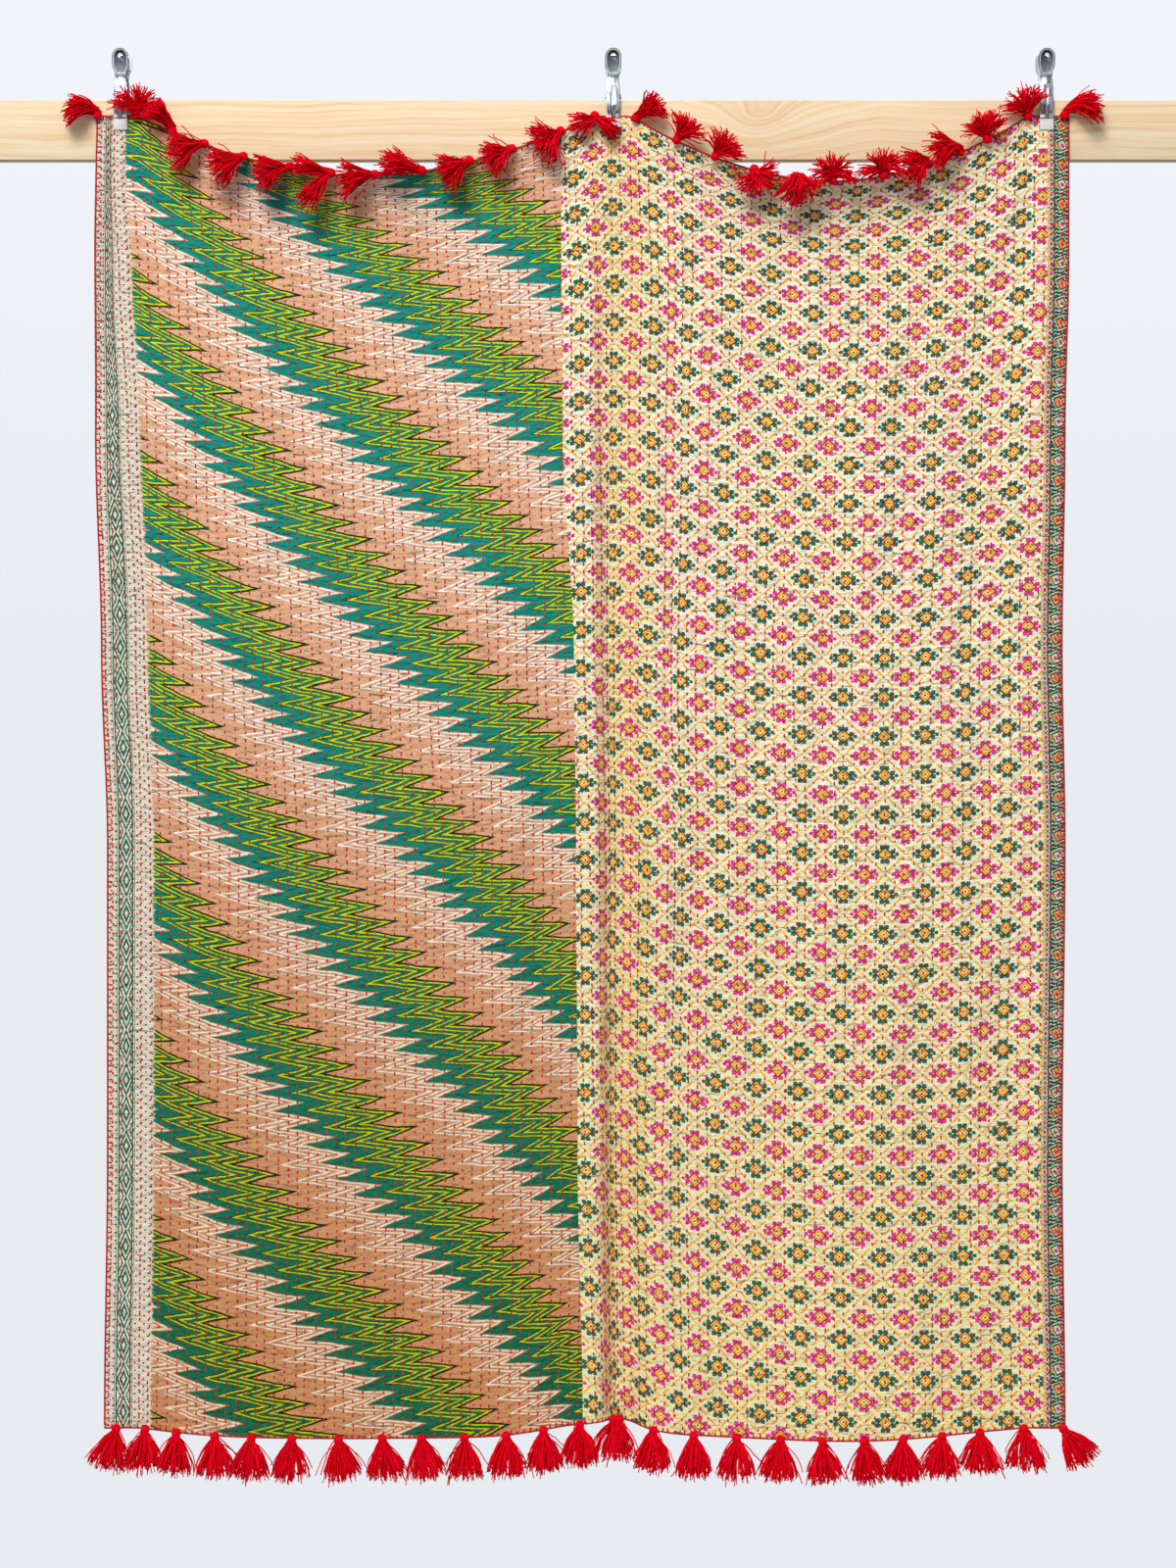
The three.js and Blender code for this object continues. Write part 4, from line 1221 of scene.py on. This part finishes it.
def joinArrays(parts):
    points, faces, places = [], [], []
    total = 0
    for partPoints, partFaces, partPlaces in parts:
        points.append(partPoints)
        faces.append(partFaces + total)
        places.append(partPlaces)
        total += len(partPoints)
    return np.concatenate(points), np.concatenate(faces), np.concatenate(places)


# Angles in degrees: 0 hangs straight down, minus is to the left, plus to the right and 180 stands up.
# Above is how far over its edge of the cloth a tassel is tied, and alike is what a whole row shares
forms = {
    "top": {
        "strands": 128, "shoulder": 0.6, "toViewer": (4, 52), "droop": 0.1, "stray": 0.1,
        "edge": 0, "above": -0.6, "seed": 100, "alike": {},
    },
    "hem": {
        "strands": 150, "shoulder": 1.6, "toViewer": (-24, 34), "droop": 0.0, "stray": 0.08,
        "edge": -1, "above": 1.0, "seed": 200, "alike": {"fan": 31, "reach": 50},
    },
}


def heading(degrees):
    turn = np.radians(degrees)
    return np.stack([np.sin(turn), 0 * turn, -np.cos(turn)], axis=-1)


# Strands leave the neck close together, fan out and end ragged; all in mm
def tasselArrays(centre, row, form, dice):
    count = form["strands"]
    front = np.array([0.0, -1.0, 0.0])
    stray = dice.uniform(0, 1, count) < form["stray"]
    off = dice.uniform(-1, 1, count) * np.where(stray, yarn["strayFan"], 1.0)
    lobes = np.array(row.get("lobes", [row["aim"]]), dtype=float)
    aim = lobes[dice.integers(0, len(lobes), count)]
    lift = np.radians(dice.uniform(*form["toViewer"], count))[:, None]
    length = row["reach"] * dice.normal(1.0, yarn["ragged"], count)
    length = (length * np.where(stray, dice.uniform(*yarn["strayLengths"], count), 1))[:, None]
    final = heading(aim + row["fan"] * off) * np.cos(lift) + front * np.sin(lift)
    early = heading(aim + row["fan"] * form["shoulder"] * off) * np.cos(lift) + front * np.sin(lift)
    early = early + row.get("bend", 0.0) * heading(np.full(count, row.get("rise", 0.0)))
    early = early / np.linalg.norm(early, axis=1, keepdims=True)
    axis = heading(np.array(row.get("rise", row["aim"]), dtype=float))
    knobs = [centre + np.array([shift, 0.0, 0.0]) for shift in row.get("knobs", (0.0,))]
    start = np.array(knobs)[dice.integers(0, len(knobs), count)]
    root = start + axis * yarn["root"] * knot["height"] + dice.normal(0, yarn["neck"], (count, 3))
    turned = root + early * yarn["turn"] * length
    tip = root + final * length - np.array([0.0, 0.0, 1.0]) * form["droop"] * length
    t = np.linspace(0, 1, yarn["points"])[None, :, None]
    lines = root[:, None] * (1 - t) ** 2 + turned[:, None] * 2 * t * (1 - t) + tip[:, None] * t ** 2
    wave = dice.normal(0, 1, (count, 3, 3)) * np.array(yarn["ripples"])[None, :, None]
    ripple = np.broadcast_to(np.sin(t * math.pi * np.array([1.0, 2.0, 3.0])), (count, yarn["points"], 3))
    lines = lines + np.einsum("ntw,nwc->ntc", ripple, wave) * t
    ahead = centre[1] - lines[..., 1]
    lines[..., 1] = centre[1] - ahead * min(1.0, (centre[1] - yarn["furthest"]) / ahead.max())
    thick = yarn["thick"] * dice.uniform(*yarn["thicknesses"], count)
    widest, taper = yarn["taper"]
    radii = thick[:, None] * (widest - taper * t[..., 0])
    heads = [headArrays(knob, axis, dice) for knob in knobs]
    return joinArrays([*heads, strandArrays(lines, radii)])


topTassels = [
    {"x": -660, "aim": -98, "fan": 30, "reach": 43, "rise": 180, "bend": 0.9},
    {"x": -609, "aim": 172, "fan": 78, "reach": 38},
    {"x": -558, "aim": -138, "fan": 24, "reach": 46, "rise": 180, "bend": 0.6},
    {"x": -514, "aim": -76, "fan": 40, "reach": 46},
    {"x": -461, "aim": -64, "fan": 40, "reach": 44},
    {"x": -399, "aim": -76, "fan": 38, "reach": 45},
    {"x": -343, "lobes": (-112, -108, -34, -40), "aim": -75, "fan": 16, "reach": 54},
    {"x": -284, "aim": -84, "fan": 36, "reach": 46},
    {"x": -222, "aim": -106, "fan": 22, "reach": 54},
    {"x": -158, "aim": -62, "fan": 42, "reach": 42},
    {"x": -102, "aim": -64, "fan": 46, "reach": 38},
    {"x": -37, "aim": -54, "fan": 52, "reach": 42},
    {"x": 9, "lobes": (58, 50, -48, -80), "aim": 10, "fan": 22, "reach": 36},
    {"x": 64, "aim": 118, "fan": 32, "reach": 40, "rise": 140, "bend": 0.3},
    {"x": 119, "aim": 138, "fan": 54, "reach": 36},
    {"x": 170, "aim": 138, "fan": 62, "reach": 36},
    {"x": 222, "aim": 30, "fan": 95, "reach": 31},
    {"x": 275, "aim": 6, "fan": 60, "reach": 38, "rise": 150, "bend": 0.5},
    {"x": 326, "aim": -178, "fan": 120, "reach": 34},
    {"x": 394, "aim": -172, "fan": 110, "reach": 34},
    {"x": 454, "aim": -66, "fan": 56, "reach": 36, "rise": 170, "bend": 0.4},
    {"x": 498, "aim": -84, "fan": 38, "reach": 46, "rise": 175, "bend": 0.5},
    {"x": 535, "aim": -160, "fan": 70, "reach": 36},
    {"x": 592, "aim": -162, "fan": 66, "reach": 38},
    {"x": 641, "aim": 104, "fan": 28, "reach": 48, "rise": 180, "bend": 0.9},
]
hemTassels = [
    {"x": -635, "aim": -12}, {"x": -596, "aim": -3}, {"x": -553, "aim": -2}, {"x": -501, "aim": 4},
    {"x": -452, "aim": -2}, {"x": -398, "aim": -3}, {"x": -336, "aim": 6}, {"x": -277, "aim": 9},
    {"x": -224, "aim": 10}, {"x": -166, "aim": 1}, {"x": -110, "aim": 0}, {"x": -60, "aim": 2},
    {"x": -11, "aim": -2}, {"x": 38, "aim": -4, "fan": 34, "knobs": (-4, 4)}, {"x": 88, "aim": -2},
    {"x": 142, "aim": -1}, {"x": 200, "aim": -3}, {"x": 259, "aim": -5}, {"x": 315, "aim": 5},
    {"x": 370, "aim": 9}, {"x": 423, "aim": 0}, {"x": 476, "aim": -4}, {"x": 528, "aim": 1},
    {"x": 587, "aim": 4}, {"x": 639.5, "aim": 33},
]
seating = {"gap": 0.3, "span": 3}  # from the cloth to a knot, and the stretch of edge that it must clear


# The front of the cloth's top or hem edge at x, in mm
def edgePoint(row, x):
    edge = np.concatenate([grids[name]["front"][row] for name in panels]) / mm
    order = np.argsort(edge[:, 0])
    edge = edge[order]
    near = np.abs(edge[:, 0] - x) < seating["span"]
    z = np.interp(x, edge[:, 0], edge[:, 2])
    return np.array([x, edge[near, 1].min(), z])


def makeTassel(node, row, form, dice, material):
    spot = edgePoint(form["edge"], row["x"])
    seat = spot + np.array([0.0, -seating["gap"] - knot["radius"], form["above"]])
    points, faces, places = tasselArrays(seat, {**form["alike"], **row}, form, dice)
    piece = meshPiece(node + "_yarn", points * mm, faces, [material], {"strand": places})
    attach(piece, "root")
    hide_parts(node)


yarnMaterial = redYarn()
for label, tassels in (("top", topTassels), ("hem", hemTassels)):
    form = forms[label]
    for i, row in enumerate(tassels):
        dice = np.random.default_rng(form["seed"] + i)
        makeTassel(f"tassel_{label}_{i + 1:02d}", row, form, dice, yarnMaterial)
print("tassels tied")


# The rail: sizes in mm
# Planed pine, unfinished: pale straw with fine level grain, a swirl of wilder figure right of the middle
rail = {"length": 1700, "thickness": 20, "height": 80, "ease": 1.2, "smoothAngle": 35}
swirl = {"at": (235, 0, 12), "core": 10, "reach": 160, "push": 85, "pushElsewhere": 18}
grainSizes = {"drift": 76.923, "line": 5.26316, "fibre": 1.428571}
grainForm = {
    "driftDrawn": (0.5, 1.0, 1.0),
    "fibreDrawn": (0.05, 1.0, 1.0),
    "lineDrawn": 0.012,
    "fibreShare": 0.35,
    "range": (0.42, 0.88),
    "shades": ((0.0, "DBB586"), (0.45, "EACFA6"), (1.0, "F1E0C2")),
}


def pine():
    material, tree = newMaterial("planed pine")
    place = addNode(tree, "TexCoord")["Object"]
    scales = {name: 1 / (size * mm) for name, size in grainSizes.items()}

    # Growth lines cut nearly lengthwise, uneven in width, pushed about most round the swirl
    heart = [c * mm for c in swirl["at"]]
    fromSwirl = addNode(tree, "VectorMath", {0: place, 1: heart}, operation="DISTANCE")["Value"]
    wild = addNode(tree, "MapRange", {
        0: fromSwirl, 1: swirl["core"] * mm, 2: swirl["reach"] * mm,
        3: swirl["push"] * mm, 4: swirl["pushElsewhere"] * mm,
    })[0]
    stretched = addNode(tree, "Mapping", {0: place, 3: grainForm["driftDrawn"]})[0]
    drift = addNode(tree, "TexNoise", {0: stretched, "Scale": scales["drift"], "Detail": 1.0})[0]
    pushed = addNode(tree, "Math", {0: drift, 1: wild}, operation="MULTIPLY")[0]
    across, _, height = addNode(tree, "SeparateXYZ", {0: place})
    level = addNode(tree, "Math", {0: height, 1: pushed}, operation="ADD")[0]
    along = addNode(tree, "Math", {0: across, 1: grainForm["lineDrawn"]}, operation="MULTIPLY")[0]
    lines = addNode(tree, "CombineXYZ", {0: along, 2: level})[0]
    line = addNode(tree, "TexNoise", {0: lines, "Scale": scales["line"], "Detail": 2.5, "Roughness": 0.6})[0]
    drawn = addNode(tree, "Mapping", {0: place, 3: grainForm["fibreDrawn"]})[0]
    fibre = addNode(tree, "TexNoise", {0: drawn, "Scale": scales["fibre"], "Detail": 3.0})[0]
    share = grainForm["fibreShare"]
    grain = addNode(tree, "Math", {0: fibre, 1: share, 2: line}, operation="MULTIPLY_ADD")[0]
    low, high = grainForm["range"]
    shade = addNode(tree, "MapRange", {0: grain, 1: low, 2: high})[0]
    ramp = addNode(tree, "ValToRGB", {0: shade})
    setRamp(ramp[0].node.color_ramp, grainForm["shades"], "LINEAR")
    bumped = addNode(tree, "Bump", {"Strength": 0.15, "Distance": 0.3 * mm, "Height": fibre})[0]
    shader = addNode(tree, "BsdfPrincipled", {
        "Base Color": ramp[0], "Roughness": 0.75, "Specular IOR Level": 0.15, "Normal": bumped,
    })[0]
    addNode(tree, "OutputMaterial", {"Surface": shader})
    return material


def applyModifier(piece, kind, **settings):
    modifier = piece.modifiers.new(kind.lower(), kind)
    for name, value in settings.items():
        setattr(modifier, name, value)
    bpy.context.view_layer.objects.active = piece
    bpy.ops.object.modifier_apply(modifier=modifier.name)


def settle(piece, angle):
    bpy.ops.object.select_all(action="DESELECT")
    piece.select_set(True)
    bpy.context.view_layer.objects.active = piece
    bpy.ops.object.transform_apply(location=True, rotation=True, scale=True)
    bpy.ops.object.shade_smooth_by_angle(angle=math.radians(angle))


def newPart(name, add, **settings):
    bpy.ops.object.select_all(action="DESELECT")
    add(**settings)
    piece = bpy.context.object
    piece.name = name
    return piece


def boxPart(name, size, centre, ease):
    piece = newPart(name, bpy.ops.mesh.primitive_cube_add, size=1, location=[c * mm for c in centre])
    bpy.ops.object.mode_set(mode="EDIT")
    bpy.ops.mesh.select_all(action="SELECT")
    bpy.ops.transform.resize(value=[c * mm for c in size])
    bpy.ops.mesh.bevel(offset=ease * mm, segments=2)
    bpy.ops.object.mode_set(mode="OBJECT")
    return piece


railPiece = boxPart(
    "pineRail", (rail["length"], rail["thickness"], rail["height"]),
    (0, -rail["thickness"] / 2, 0), rail["ease"],
)
settle(railPiece, rail["smoothAngle"])
railPiece.data.materials.append(pine())
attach(railPiece, "root")
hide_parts("rail")
print("rail planed")


# The clips: each leaf is one pressed strip, drawn as if the clip stood at the origin with its front to -Y;
# sizes in mm
clip = {
    "places": {"left": -630, "middle": 34, "right": 618},
    "middle": -11.35,  # the plane between its two leaves
    "gauge": 1.5,
    # out from the middle, height and half width of the strip, from its lip to its neck
    "strip": [
        (15.2, 14.9, 9.2), (14.0, 16.4, 9.2), (13.9, 19.0, 9.2), (14.8, 26.0, 9.2), (15.4, 32.0, 9.2),
        (15.2, 40.0, 9.2), (14.1, 46.5, 9.2), (12.9, 56.0, 9.0), (11.6, 65.0, 8.4), (11.2, 70.6, 7.4),
    ],
    # along the handle from the neck, and half width there
    "handle": [
        (3.0, 7.6), (8.0, 8.2), (13.0, 10.4), (17.0, 11.0), (27.5, 11.0), (31.5, 10.2), (35.0, 8.0),
        (37.3, 5.2), (38.4, 2.4),
    ],
    "firstRow": 0.2,
    "splay": 10.3,
    "neck": 3.5,  # left plain under the hollow
    # the outer edge takes the hollow's painted dark reflection and shade
    "edge": 0.9,  # its dark outer edge
    # steps of width and height: the rim and the hollow inside it, the ridge round the body
    "rim": (1.6, 0.1),
    "recess": (0.5, -1.0),
    "ridge": ((4.6, 0.0), (0.8, 1.0), (1.2, 0.0), (0.7, -1.0)),
    "ridgeSpan": (27, 63),
    "windowSpan": (19.5, 25.5),
    "windowFrame": 1.6,
    "ease": 0.3,
    "hole": {"along": 29.0, "radius": 3.22, "cut": 12},
    "pad": {"width": 18.8, "face": 11.65, "back": 14.0, "foot": -0.7, "top": 14.6, "ease": 0.6},
    "pivot": 46.5,
    "pin": {"radius": 2.0, "length": 20.0, "head": 3.2, "headGauge": 1.5, "headOut": 10.2},
    "ears": {"front": 8.0, "rear": 6.3},
    "ear": {"gauge": 1.2, "depth": 16.6, "middle": -5.6, "halfHeight": 4.4, "ease": 0.5},
    "coil": {"radius": 3.5, "wire": 0.8, "wireSides": 8, "turns": 5, "steps": 16, "pitch": 1.9},
    "smoothAngle": 35,
}


# Pressed steel with nickel plate: bright with fine upright streaks. The hollow of the handle and the outer
# edge are painted dark reflection and shade, darker upwards and dark at the neck; the rim round the hollow is
# a painted highlight, near white
streak = {"size": 2.380952, "drawn": (1.0, 1.0, 0.04)}
# heights over which the hollow's painted dark reflection and shade is graded
hollowShadeHeights = (69.5, 108)
plate = {
    "body": {
        "roughness": 0.42,
        "graded": 0.0,
        "stops": [(0.34, "676C73"), (0.5, "A3A8AE"), (0.66, "C4C8CD")],
    },
    "hollowShaded": {
        "roughness": 0.5,
        "graded": 0.85,
        "stops": [(0.09, "30353A"), (0.14, "9AA3A6"), (0.5, "6C777E"), (0.85, "353C43")],
    },
    # painted highlight: the rim is the same plate drawn near white, as its edge catching the light
    "rim": {"roughness": 0.4, "graded": 0.0, "stops": [(0.3, "C9CDD1"), (0.7, "F4F5F6")]},
}


def nickel(name):
    form = plate[name]
    material, tree = newMaterial("nickel plated steel, " + name)
    place = addNode(tree, "TexCoord")["Object"]
    drawn = addNode(tree, "Mapping", {0: place, 3: streak["drawn"]})[0]
    streaks = addNode(tree, "TexNoise", {0: drawn, "Scale": 1 / (streak["size"] * mm), "Detail": 2.0})[0]
    up = addNode(tree, "SeparateXYZ", {0: place})[2]
    low, high = hollowShadeHeights
    height = addNode(tree, "MapRange", {0: up, 1: low * mm, 2: high * mm})[0]
    tone = addNode(tree, "Mix", {0: form["graded"], 2: streaks, 3: height})[0]
    ramp = addNode(tree, "ValToRGB", {0: tone})
    setRamp(ramp[0].node.color_ramp, form["stops"], "LINEAR")
    shader = addNode(tree, "BsdfPrincipled", {
        "Base Color": ramp[0], "Metallic": 1.0, "Roughness": form["roughness"],
    })[0]
    addNode(tree, "OutputMaterial", {"Surface": shader})
    return material


# Soft pale grey vinyl on the jaws, matt with a faint grain
vinylLook = {"colour": "DAD9D6", "grain": 1.111111}


def greyVinyl():
    material, tree = newMaterial("grey vinyl")
    place = addNode(tree, "TexCoord")["Object"]
    grain = addNode(tree, "TexNoise", {0: place, "Scale": 1 / (vinylLook["grain"] * mm)})[0]
    pressed = addNode(tree, "Bump", {"Strength": 0.2, "Distance": 0.2 * mm, "Height": grain})[0]
    shader = addNode(tree, "BsdfPrincipled", {
        "Base Color": fromHex(vinylLook["colour"]), "Roughness": 0.5, "Normal": pressed,
    })[0]
    addNode(tree, "OutputMaterial", {"Surface": shader})
    return material


# Selects the faces between two heights, ready to edit
def chooseFaces(piece, low, high=math.inf):
    bpy.ops.object.mode_set(mode="OBJECT")
    for part in (piece.data.vertices, piece.data.edges):
        part.foreach_set("select", np.zeros(len(part), dtype=bool))
    for face in piece.data.polygons:
        face.select = low * mm < face.center.z < high * mm
    bpy.ops.object.mode_set(mode="EDIT")


def insetFaces(width, height=0):
    bpy.ops.mesh.inset(thickness=width * mm, depth=height * mm)


def rodPart(name, radius, length, centre, sides=20, turn=(0, math.pi / 2, 0)):
    return newPart(
        name, bpy.ops.mesh.primitive_cylinder_add, vertices=sides, radius=radius * mm, depth=length * mm,
        location=[c * mm for c in centre], rotation=turn,
    )


def stripPart(name, materials):
    slots = {label: i for i, label in enumerate(plate)}
    rows = list(clip["strip"])
    neckOut, neckHeight, _ = rows[-1]
    lean = math.radians(clip["splay"])
    for along, half in clip["handle"]:
        rows.append((neckOut + along * math.sin(lean), neckHeight + along * math.cos(lean), half))
    piece = newPart(
        name, bpy.ops.mesh.primitive_plane_add, size=1, rotation=(math.pi / 2, 0, 0),
        location=(0, -rows[0][0] * mm, rows[0][1] * mm),
    )
    bpy.ops.object.transform_apply(location=True, rotation=True, scale=True)
    for material in materials:
        piece.data.materials.append(material)

    # A first thin row, then its top edge is drawn out row by row
    bpy.ops.object.mode_set(mode="EDIT")
    bpy.ops.mesh.select_mode(type="VERT")
    bpy.ops.mesh.select_all(action="SELECT")
    bpy.ops.transform.resize(value=(2 * rows[0][2] * mm, 1, clip["firstRow"] * mm))
    bpy.ops.mesh.select_all(action="DESELECT")
    bpy.ops.object.mode_set(mode="OBJECT")
    for vertex in piece.data.vertices:
        vertex.select = vertex.co.z > rows[0][1] * mm
    bpy.ops.object.mode_set(mode="EDIT")
    for before, after in zip(rows, rows[1:]):
        bpy.ops.mesh.extrude_region_move(TRANSFORM_OT_translate={
            "value": (0, (before[0] - after[0]) * mm, (after[1] - before[1]) * mm),
        })
        bpy.ops.transform.resize(value=(after[2] / before[2], 1, 1))

    # The handle's hollow, the body's raised ridge and the window above the lip
    bpy.ops.mesh.select_mode(type="FACE")
    chooseFaces(piece, neckHeight + clip["neck"])
    insetFaces(clip["edge"])
    bpy.ops.object.mode_set(mode="OBJECT")
    # the outer edge and the hollow get the painted dark reflection and shade, the rim the painted highlight
    for face in piece.data.polygons:
        if face.center.z > neckHeight * mm:
            face.material_index = slots["rim" if face.select else "hollowShaded"]
    bpy.ops.object.mode_set(mode="EDIT")
    insetFaces(*clip["rim"])
    insetFaces(*clip["recess"])
    bpy.ops.object.mode_set(mode="OBJECT")
    for face in piece.data.polygons:
        if face.select:
            face.material_index = slots["hollowShaded"]
    chooseFaces(piece, *clip["ridgeSpan"])
    for width, height in clip["ridge"]:
        insetFaces(width, height)
    chooseFaces(piece, *clip["windowSpan"])
    insetFaces(clip["windowFrame"])
    bpy.ops.mesh.delete(type="FACE")
    bpy.ops.object.mode_set(mode="OBJECT")
    applyModifier(piece, "SOLIDIFY", thickness=clip["gauge"] * mm, offset=-1)

    # A round hole near the top of the handle
    hole = clip["hole"]
    cutter = rodPart(
        "holeCutter", hole["radius"], hole["cut"],
        (0, -(neckOut + hole["along"] * math.sin(lean)), neckHeight + hole["along"] * math.cos(lean)),
        turn=(math.pi / 2, 0, 0),
    )
    applyModifier(piece, "BOOLEAN", operation="DIFFERENCE", object=cutter, solver="EXACT")
    bpy.data.objects.remove(cutter)
    applyModifier(
        piece, "BEVEL", width=clip["ease"] * mm, segments=2, limit_method="ANGLE",
        angle_limit=math.radians(clip["smoothAngle"]),
    )
    return piece


def joinParts(parts):
    bpy.ops.object.select_all(action="DESELECT")
    for part in parts:
        part.select_set(True)
    bpy.context.view_layer.objects.active = parts[0]
    bpy.ops.object.join()
    settle(parts[0], clip["smoothAngle"])
    return parts[0]


# A ring of wire turned about the pin
def springPart(coil):
    spring = newPart(
        "spring", bpy.ops.mesh.primitive_circle_add, vertices=coil["wireSides"], radius=coil["wire"] * mm,
        location=(0, 0, 0), rotation=(math.pi / 2, 0, 0),
    )
    bpy.ops.object.mode_set(mode="EDIT")
    bpy.ops.mesh.select_all(action="SELECT")
    bpy.ops.transform.translate(value=(0, 0, coil["radius"] * mm))
    bpy.ops.object.mode_set(mode="OBJECT")
    bpy.ops.object.transform_apply(location=True, rotation=True, scale=True)
    applyModifier(
        spring, "SCREW", axis="X", screw_offset=coil["pitch"] * mm, iterations=coil["turns"],
        steps=coil["steps"],
    )
    spring.location = (-coil["turns"] * coil["pitch"] / 2 * mm, 0, clip["pivot"] * mm)
    return spring


def makeLeaf(kind, plates, vinyl):
    pad, ear, pin = clip["pad"], clip["ear"], clip["pin"]
    padPart = boxPart(
        kind + "Pad", (pad["width"], pad["back"] - pad["face"], pad["top"] - pad["foot"]),
        (0, -(pad["back"] + pad["face"]) / 2, (pad["top"] + pad["foot"]) / 2), pad["ease"],
    )
    padPart.data.materials.append(vinyl)
    parts = [stripPart(kind + "Leaf", plates), padPart]
    steel = []
    for side in (-1, 1):
        steel.append(boxPart(
            kind + "Ear", (ear["gauge"], ear["depth"], 2 * ear["halfHeight"]),
            (side * clip["ears"][kind], ear["middle"], clip["pivot"]), ear["ease"],
        ))
    if kind == "rear":
        steel.append(rodPart("pin", pin["radius"], pin["length"], (0, 0, clip["pivot"])))
        for x in (-pin["headOut"], pin["headOut"]):
            steel.append(rodPart("pinHead", pin["head"], pin["headGauge"], (x, 0, clip["pivot"])))
        steel.append(springPart(clip["coil"]))
    for part in steel:
        part.data.materials.append(plates[0])
    return joinParts(parts + steel)


def makeClips():
    plates = [nickel(name) for name in plate]
    vinyl = greyVinyl()
    for kind in ("front", "rear"):
        leaf = makeLeaf(kind, plates, vinyl)
        for place, x in clip["places"].items():
            piece = leaf.copy()
            piece.data = leaf.data.copy()
            piece.name = f"clip_{place}_{kind}_leaf"
            bpy.context.scene.collection.objects.link(piece)
            turn = Matrix.Rotation(math.pi, 4, "Z") if kind == "rear" else Matrix.Identity(4)
            piece.data.transform(Matrix.Translation((x * mm, clip["middle"] * mm, 0)) @ turn)
            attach(piece, "root")
            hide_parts(f"clip_{place}_{kind}")
        bpy.data.objects.remove(leaf)


makeClips()
print("clips sprung")

for node, piece in clothPieces.items():
    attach(piece, "root")
    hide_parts(node)
    for extra in sewing[node]:
        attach(extra, "root")
